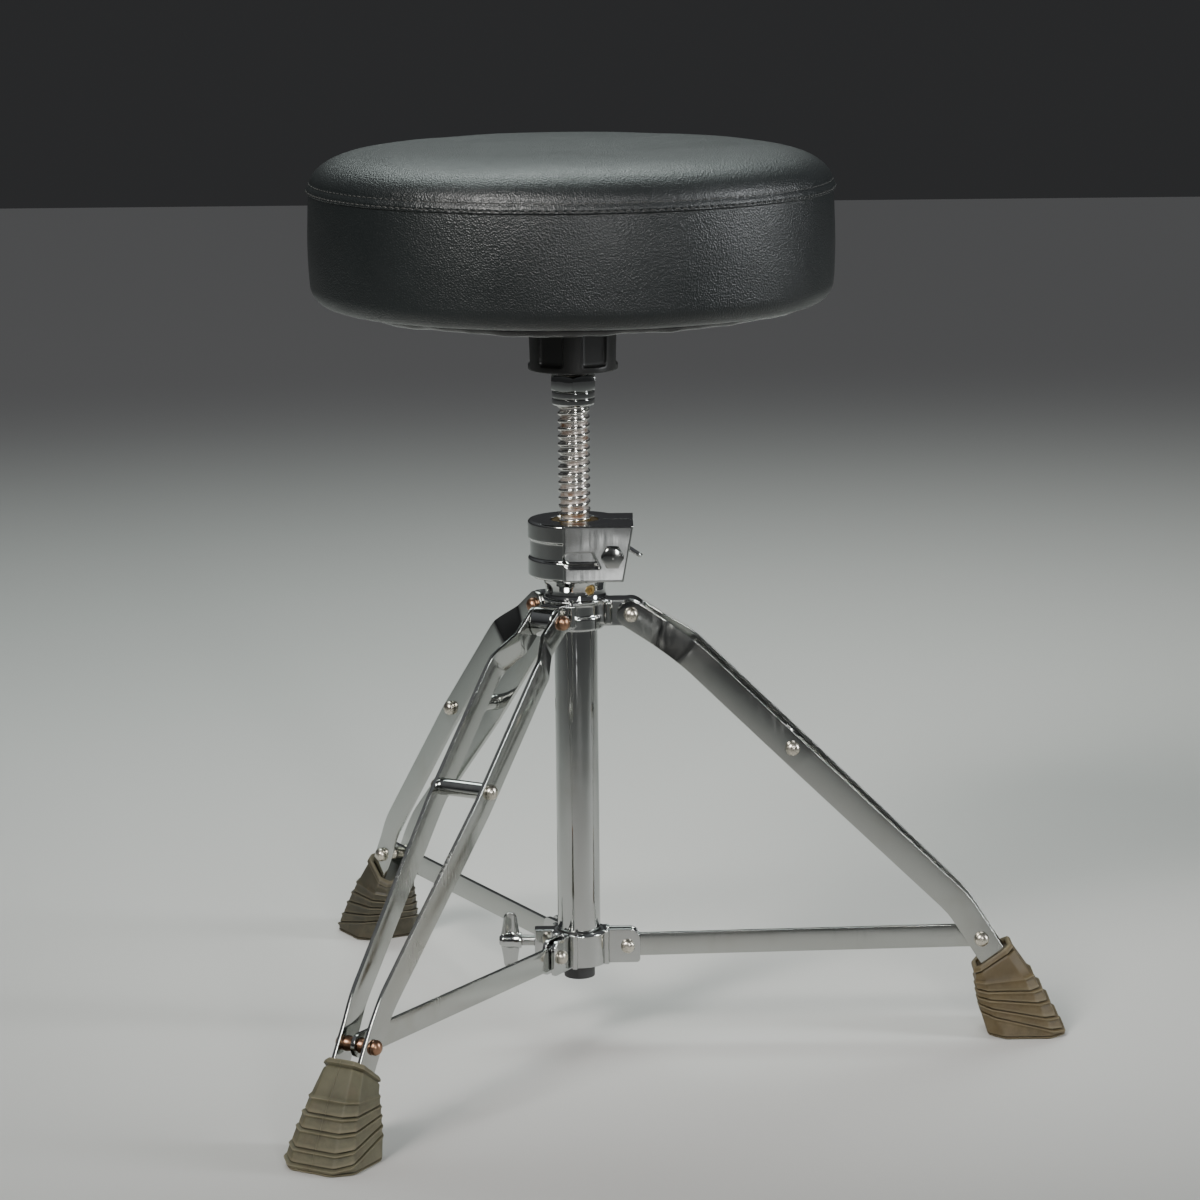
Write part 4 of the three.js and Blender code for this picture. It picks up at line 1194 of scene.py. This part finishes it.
def add_hub():
    """The turned hub under its thin flange, with a two-step lug for each leg between ribbed fillets."""
    low, top = HUB_LOW.z, HUB_HIGH.z
    body = lathe([
        (0, low), (17.7, low), (18.7, low + 1), (18.7, low + 8.6), (17.4, low + 9.8), (17.4, top - 4),
        (19, top - 2.6), (21.5, top - 1.9), (21.5, top), (0, top),
    ])
    lug_half = 8.0
    parts = [body]
    for number in LEGS:
        turn = leg_turn(number)
        arm = box_mesh((12, -lug_half, low + 2.2), (HINGE.x, lug_half, top - 1.2))
        step = box_mesh((12, -lug_half - 1.6, low + 4.5), (23.5, lug_half + 1.6, top - 3))
        barrel = turned(disc(9.8, -lug_half, lug_half), ALONG_Y, moved(HINGE.x, 0, HINGE.z))
        parts += [turned(arm, turn), turned(step, turn), turned(barrel, turn)]
        for side in (1, -1):
            rib = disc(2.3, low + 4, top - 2.4, segments=24)
            parts.append(turned(rib, moved(21.2, side * (lug_half + 1.4), 0), turn))
    bore = disc(TUBE_RADIUS + FIT, low - 1, top + 1)
    stand_for("upper_leg_hub", melt(carve(fuse(*parts), bore), 0.42, 5), sharp=70)


add_tube()
add_clamp()
add_clamp_bolt()
add_hub()

# ------------------------------------------------------------------ legs

STRIP_HEIGHT = 18.4
STRIP_THICKNESS = 2.6
UPPER_BEND = Vector((74.2, 0, 263.9))
LOWER_BEND = Vector((253.2, 0, 89.6))
NARROW, WIDE = 9.6, 17.6  # a strip's distance from the leg's middle plane
JOGGLE = (22, 43)
DRAW_IN_MARGIN = 12
PAST_PIN = 34
BEND_REACH = 9
RIVET_SHANK = 3
RIVET_HEAD = 4.9
RIVET_RIM = 1.2
RIVET_DOME = 5.2
STAY_THICKNESS = 3
STAY_HEIGHT = 15.4


def flat(place):
    return Vector((place.x, place.z))


def leg_line():
    """The leg's centre line from the hinge down, its two bends rounded, in points about 2 mm apart."""
    pin = flat(PIN)
    bends = [flat(UPPER_BEND), flat(LOWER_BEND)]
    end = pin + (pin - bends[1]).normalized() * PAST_PIN
    corners = [flat(HINGE), *bends, end]
    points = [corners[0]]
    for before, here, after in zip(corners, corners[1:], corners[2:]):
        start = here + (before - here).normalized() * BEND_REACH
        stop = here + (after - here).normalized() * BEND_REACH
        for i in range(9):
            t = i / 8
            points.append(start.lerp(here, t).lerp(here.lerp(stop, t), t))
    points.append(end)
    fine = [points[0]]
    for before, after in zip(points, points[1:]):
        pieces = max(1, round((after - before).length / 1.5))
        fine += [before.lerp(after, (i + 1) / pieces) for i in range(pieces)]
    return fine


LEG_LINE = leg_line()


def along_leg(place):
    """The distance down the centre line to the point of it nearest to a place."""
    travelled = 0
    best = (1e9, 0)
    for before, after in zip(LEG_LINE, LEG_LINE[1:]):
        travelled += (after - before).length
        best = min(best, ((flat(place) - after).length, travelled))
    return best[1]


MIDDLE_ALONG = along_leg(MIDDLE)
PIN_ALONG = along_leg(PIN)
SPREAD_STATIONS = [
    (-20, NARROW), (JOGGLE[0], NARROW), (JOGGLE[1], WIDE), (MIDDLE_ALONG + DRAW_IN_MARGIN, WIDE),
    (PIN_ALONG - DRAW_IN_MARGIN, NARROW), (PIN_ALONG + 60, NARROW),
]


def spread_at(along):
    for (start, low), (stop, high) in zip(SPREAD_STATIONS, SPREAD_STATIONS[1:]):
        if along <= stop:
            return low + (high - low) * (along - start) / (stop - start)
    return NARROW


def smooth_spread(along, reach=1.6):
    """The spread with each fold's crease rounded over a couple of millimetres."""
    steps = 7
    return sum(spread_at(along + reach * (2 * i / (steps - 1) - 1)) for i in range(steps)) / steps


def strip_section(half, thick, edge=0.5):
    """A bar's section with rounded edges: (across, sideways) points."""
    corners = [(-half, -thick), (half, -thick), (half, thick), (-half, thick)]
    return fillet(corners, min(edge, half * 0.9), 3, closed=True)


def strip(side):
    """A leg strip: a flat bar with a round upper end, joggled out below the hinge, drawn in to the foot."""
    half = STRIP_HEIGHT / 2
    thick = STRIP_THICKNESS / 2
    heading = (LEG_LINE[1] - LEG_LINE[0]).normalized()
    stations = []
    steps = 14
    for i in range(1, steps + 1):
        angle = math.pi / 2 * i / steps
        back = half * math.cos(angle)
        inset = 1 - 0.35 * max(0, 1 - i / 3)
        stations.append((LEG_LINE[0] - heading * back, -back, half * math.sin(angle), thick * inset, heading))
    travelled = 0
    last = len(LEG_LINE) - 1
    for i in range(1, last + 1):
        travelled += (LEG_LINE[i] - LEG_LINE[i - 1]).length
        way = (LEG_LINE[min(i + 1, last)] - LEG_LINE[i - 1]).normalized()
        stations.append((LEG_LINE[i], travelled, half, thick, way))
    rings = []
    for place, along, height, width, way in stations:
        middle = side * smooth_spread(along)
        ring = []
        for across, sideways in strip_section(height, width):
            ring.append((place.x - way.y * across, middle + sideways, place.y + way.x * across))
        rings.append(ring)
    return loft(rings)


def rivet_head(face, radius=RIVET_HEAD, dome=RIVET_DOME):
    """A mushroom head on its shank, along z: flat underneath at the face, with a short rim."""
    rise = dome - RIVET_RIM
    steps = 12
    cap = []
    for i in range(steps + 1):
        a = math.pi / 2 * i / steps
        cap.append((radius * math.cos(a) ** 0.9 if i < steps else 0, face + RIVET_RIM + rise * math.sin(a)))
    shank = [(0, 0), (RIVET_SHANK, 0), (RIVET_SHANK, face)]
    return [*shank, (radius - 0.3, face), (radius, face + 0.3), *cap]


def across_leg(profile, place, side):
    """A half pin turned about the leg's y direction, on one side."""
    return turned(lathe(profile, SCREW_SEGMENTS), about("X", -90 * side), moved(place.x, 0, place.z))


BOOT_RIM_INNER, BOOT_RIM_OUTER = Vector((264.0, 44.9)), Vector((287.6, 61.8))
BOOT_SOLE_INNER, BOOT_SOLE_OUTER = 273.8, 324.6
BOOT_HALF_WIDTHS = (13.6, 25)  # at the rim and at the sole
# The boot's moulded lines, as levels on its inner and outer edge. The band below each stands a little
# prouder, and each but the first is a fine groove too.
BOOT_GROOVES = [(0.19, 0.33), (0.31, 0.48), (0.42, 0.62), (0.53, 0.79), (0.64, 0.925)]
BOOT_BEAD = (0.075, 0.047)
BOOT_STEP_OUT = 0.16
BOOT_LEVEL_STEP = 0.02
# Levels of the boot's skin: how far down on its inner and outer edge, how much it grows all round, and
# how much further at its outer face. Bead, grooves and lips are measured from their line.
BOOT_RIM = [
    (0.05, 0.035, -3.2, 0), (0.01, 0.008, -2.4, 0), (-0.002, -0.002, -1.6, 0), (-0.004, -0.004, 0.0, 0),
    (0.008, 0.006, 0.5, 0), (0.03, 0.02, 0.75, 0),
]
BOOT_UNDER_BEAD = [
    (-0.018, -0.011, 0.7, 0), (0, 0, -0.5, 0), (0.012, 0.01, -0.9, 0), (0.024, 0.02, -0.3, 0),
    (0.045, 0.04, -0.15, 0),
]
BOOT_GROOVE_TOP = [(-0.014, -0.012, 0, 0)]
BOOT_GROOVE = [(-0.006, -0.006, -0.3, 0), (-0.001, -0.002, -1.1, 0), (0.006, 0.006, -1.0, 0)]
BOOT_LIP = [
    (0.010, 0.009, 0.4, 0.5), (0.018, 0.016, 0.6, 0.8), (0.028, 0.024, 0.5, 0.5), (0.050, 0.040, 0.1, 0.1),
]
BOOT_SOLE = [
    (0.80, 0.950, 0, 0.2), (0.945, 0.960, 0, 0.1), (0.957, 0.968, -1.3, 0), (0.966, 0.974, -1.2, 0),
    (0.974, 0.980, -0.1, 0), (0.988, 0.990, -0.4, 0), (0.996, 0.997, -1.2, 0), (1.0, 1.0, -2.4, 0),
]


def boot_edge(level, outer):
    """A point of the foot's inner or outer edge line, as (x, z): level 0 is the rim and 1 the sole."""
    belly = math.sin(level * math.pi)
    if outer:
        rim, sole, bulge = BOOT_RIM_OUTER, BOOT_SOLE_OUTER, 2.2
    else:
        rim, sole, bulge = BOOT_RIM_INNER, BOOT_SOLE_INNER, -1.5
    return Vector((rim.x + (sole - rim.x) * level + bulge * belly, rim.y * (1 - level)))


def between(first, second, count):
    """Evenly spaced tuples between two others."""
    shares = [n / (count + 1) for n in range(1, count + 1)]
    return [tuple(a + (b - a) * share for a, b in zip(first, second)) for share in shares]


def boot_ring(inner_level, outer_level, grow=0.0, outward=0.0):
    """The boot's outline in a plane that may be tilted, its four corners cut off and rounded. It grows
    evenly, and by a further amount at its outer face."""
    inner = boot_edge(inner_level, False)
    outer = boot_edge(outer_level, True)
    length = (outer - inner).length
    level = (inner_level + outer_level) / 2
    corner = 4.6 + 5.5 * level

    def half_at(there):
        return BOOT_HALF_WIDTHS[0] + (BOOT_HALF_WIDTHS[1] - BOOT_HALF_WIDTHS[0]) * max(0, there) ** 0.9 + grow

    start, stop = half_at(inner_level), half_at(outer_level)
    end = length + grow + outward
    one_side = [(-grow, corner - start), (corner - grow, -start), (end - corner, -stop), (end, corner - stop)]
    outline = one_side + [(x, -y) for x, y in reversed(one_side)]
    points = fillet(outline, 1.8 + 5.5 * max(0, level) ** 2, 5, closed=True)
    per_corner = len(points) // len(outline)
    seam = [(end, -0.3), (end + 0.22, -0.1), (end + 0.22, 0.1), (end, 0.3)]
    around = []
    for i, point in enumerate(points):
        around.append(point)
        if (i + 1) % per_corner == 0:
            face = between(point, points[(i + 1) % len(points)], 6)
            if i + 1 == 4 * per_corner:
                face[3:3] = seam
            around += face
    ring = []
    for out, y in around:
        place = inner + (outer - inner) * (out / length)
        ring.append((place.x, y, place.y))
    return ring


def boot():
    """The rubber foot: a rim bead round the strips, five shingled ridges, a thin sole line."""
    levels = []

    def add(shapes, inner=0, outer=0, proud=0):
        """Adds levels that are given from a level and a growth, with others between them."""
        for down_inner, down_outer, grow, outward in shapes:
            level = (inner + down_inner, outer + down_outer, proud + grow, outward)
            if levels:
                apart = abs(level[0] - levels[-1][0])
                levels.extend(between(levels[-1], level, int(apart / BOOT_LEVEL_STEP)))
            levels.append(level)

    proud = -0.2
    add(BOOT_RIM)
    add(BOOT_UNDER_BEAD, *BOOT_BEAD)
    for i, line in enumerate(BOOT_GROOVES):
        add(BOOT_GROOVE_TOP, *line, proud)
        if i:
            add(BOOT_GROOVE, *line, proud)
        proud += BOOT_STEP_OUT
        add(BOOT_LIP, *line, proud)
    add(BOOT_SOLE, proud=proud)
    return loft([boot_ring(*level) for level in levels])


SIDES = (("left", 1), ("right", -1))


def add_leg(number):
    place = leg_frame(number)
    gap = STRIP_THICKNESS / 2 + 0.05
    for name, side in SIDES:
        stand_for(f"leg_strip_{name}_{number}", strip(side), place, sharp=50)
    hinge = ("hinge", HINGE, NARROW, HINGE_RIVETS[number - 1])
    for name, where, spread, plating in (hinge, ("middle", MIDDLE, WIDE, NICKEL)):
        heads = [across_leg(rivet_head(spread + gap), where, side) for side in (1, -1)]
        stand_for(f"leg_{name}_rivet_{number}", heap(*heads), place, plating, 50)
    reach = WIDE - STRIP_THICKNESS / 2
    section = [(3.3, -reach), (5.6, -reach), (5.35, 1 - reach), (5.35, reach - 1), (5.6, reach), (3.3, reach)]
    spacer = turned(lathe(fillet(section, 0.3, closed=True), 64), ALONG_Y, moved(MIDDLE.x, 0, MIDDLE.z))
    stand_for(f"leg_spacer_tube_{number}", spacer, place)
    bush = [(0, 1.9), (4.9, 1.9), (4.9, 2.2), (4.5, 2.8), (4.5, 6.9), (4.9, 7.6)]
    bush += [(4.9, NARROW - gap), (RIVET_SHANK, NARROW - gap)]
    head = rivet_head(NARROW + gap)[2:]
    for name, side in SIDES:
        pin = across_leg([*bush, *head], PIN, side)
        stand_for(f"leg_lower_pin_{name}_{number}", pin, place, LOWER_PINS[number - 1], 50)
    stand_for(f"foot_{number}", boot(), place, RUBBERS[number - 1], 40)


def add_stay(number):
    place = leg_frame(number)
    run = (flat(PIN) - flat(COLLAR_PIN)).length
    slope = math.degrees(math.atan2(PIN.z - COLLAR_PIN.z, PIN.x - COLLAR_PIN.x))
    radius = STAY_HEIGHT / 2
    outline = arc((0, 0), radius, 90, 270, 20) + arc((run, 0), radius, -90, 90, 20)
    bar = soften(prism(outline, -STAY_THICKNESS / 2, STAY_THICKNESS / 2), 0.4, 3, 60)
    to_place = (about("Y", -slope), moved(COLLAR_PIN.x, 0, COLLAR_PIN.z))
    stand_for(f"stay_{number}", turned(bar, *to_place), place, sharp=50)
    face = EAR_GAP + EAR_THICKNESS + 0.05
    heads = [across_leg(rivet_head(face, 4.6, 4.2), COLLAR_PIN, side) for side in (1, -1)]
    stand_for(f"stay_rivet_{number}", heap(*heads), place, NICKEL, 50)


# ------------------------------------------------------------------ sliding collar

COLLAR_LOW, COLLAR_HIGH = local_box("sliding_collar")
COLLAR_RADIUS = 19.1
COLLAR_BORE = 16.6
EAR_GAP = 1.85
EAR_THICKNESS = 3


def ear(side):
    low, high = COLLAR_LOW.z, COLLAR_HIGH.z
    end = COLLAR_PIN.x + 8.4
    outline = [(COLLAR_BORE + 1, low)]
    outline += arc((end - 2.5, low + 2.5), 2.5, -90, 0, 6) + arc((end - 7, high - 7), 7, 0, 90, 10)
    outline += [(COLLAR_BORE + 1, high)]
    near, far = sorted((side * EAR_GAP, side * (EAR_GAP + EAR_THICKNESS)))
    return prism(outline, near, far)


def add_collar():
    """The stamped collar: a round body with three pairs of ears that run into it in soft fillets, and a
    block at the back left for the wing screw."""
    low, high = COLLAR_LOW.z, COLLAR_HIGH.z
    parts = [lathe([
        (0, low), (COLLAR_RADIUS - 0.8, low), (COLLAR_RADIUS, low + 0.8), (COLLAR_RADIUS, high - 1.4),
        (COLLAR_RADIUS - 1.4, high), (0, high),
    ], 128)]
    cutters = [disc(COLLAR_BORE, low - 1, high + 1)]
    for number in LEGS:
        turn = leg_turn(number)
        for side in (1, -1):
            parts.append(turned(ear(side), turn))
            web = box_mesh((15, -1.6, low), (21.5, 1.6, high))
            parts.append(turned(web, about("Z", side * 22), turn))
        gap = box_mesh((COLLAR_RADIUS, -EAR_GAP, low - 1), (50, EAR_GAP, high + 1))
        cutters.append(turned(gap, turn))
    parts.append(box_mesh((-29.8, -5.5, COLLAR_WING_HEIGHT - 8.4), (-15, 5.5, high)))
    cutters.append(radial(disc(BOLT_HOLE, 10, 40, segments=SCREW_SEGMENTS), 180, COLLAR_WING_HEIGHT))
    stand_for("sliding_collar", melt(carve(fuse(*parts), *cutters), 0.36, 5), sharp=70)
    stand_for("collar_liner", tube(TUBE_RADIUS + FIT, COLLAR_BORE - 0.1, low + 1, high - 0.6, 0.3))


for leg_number in LEGS:
    add_leg(leg_number)
    add_stay(leg_number)
add_collar()
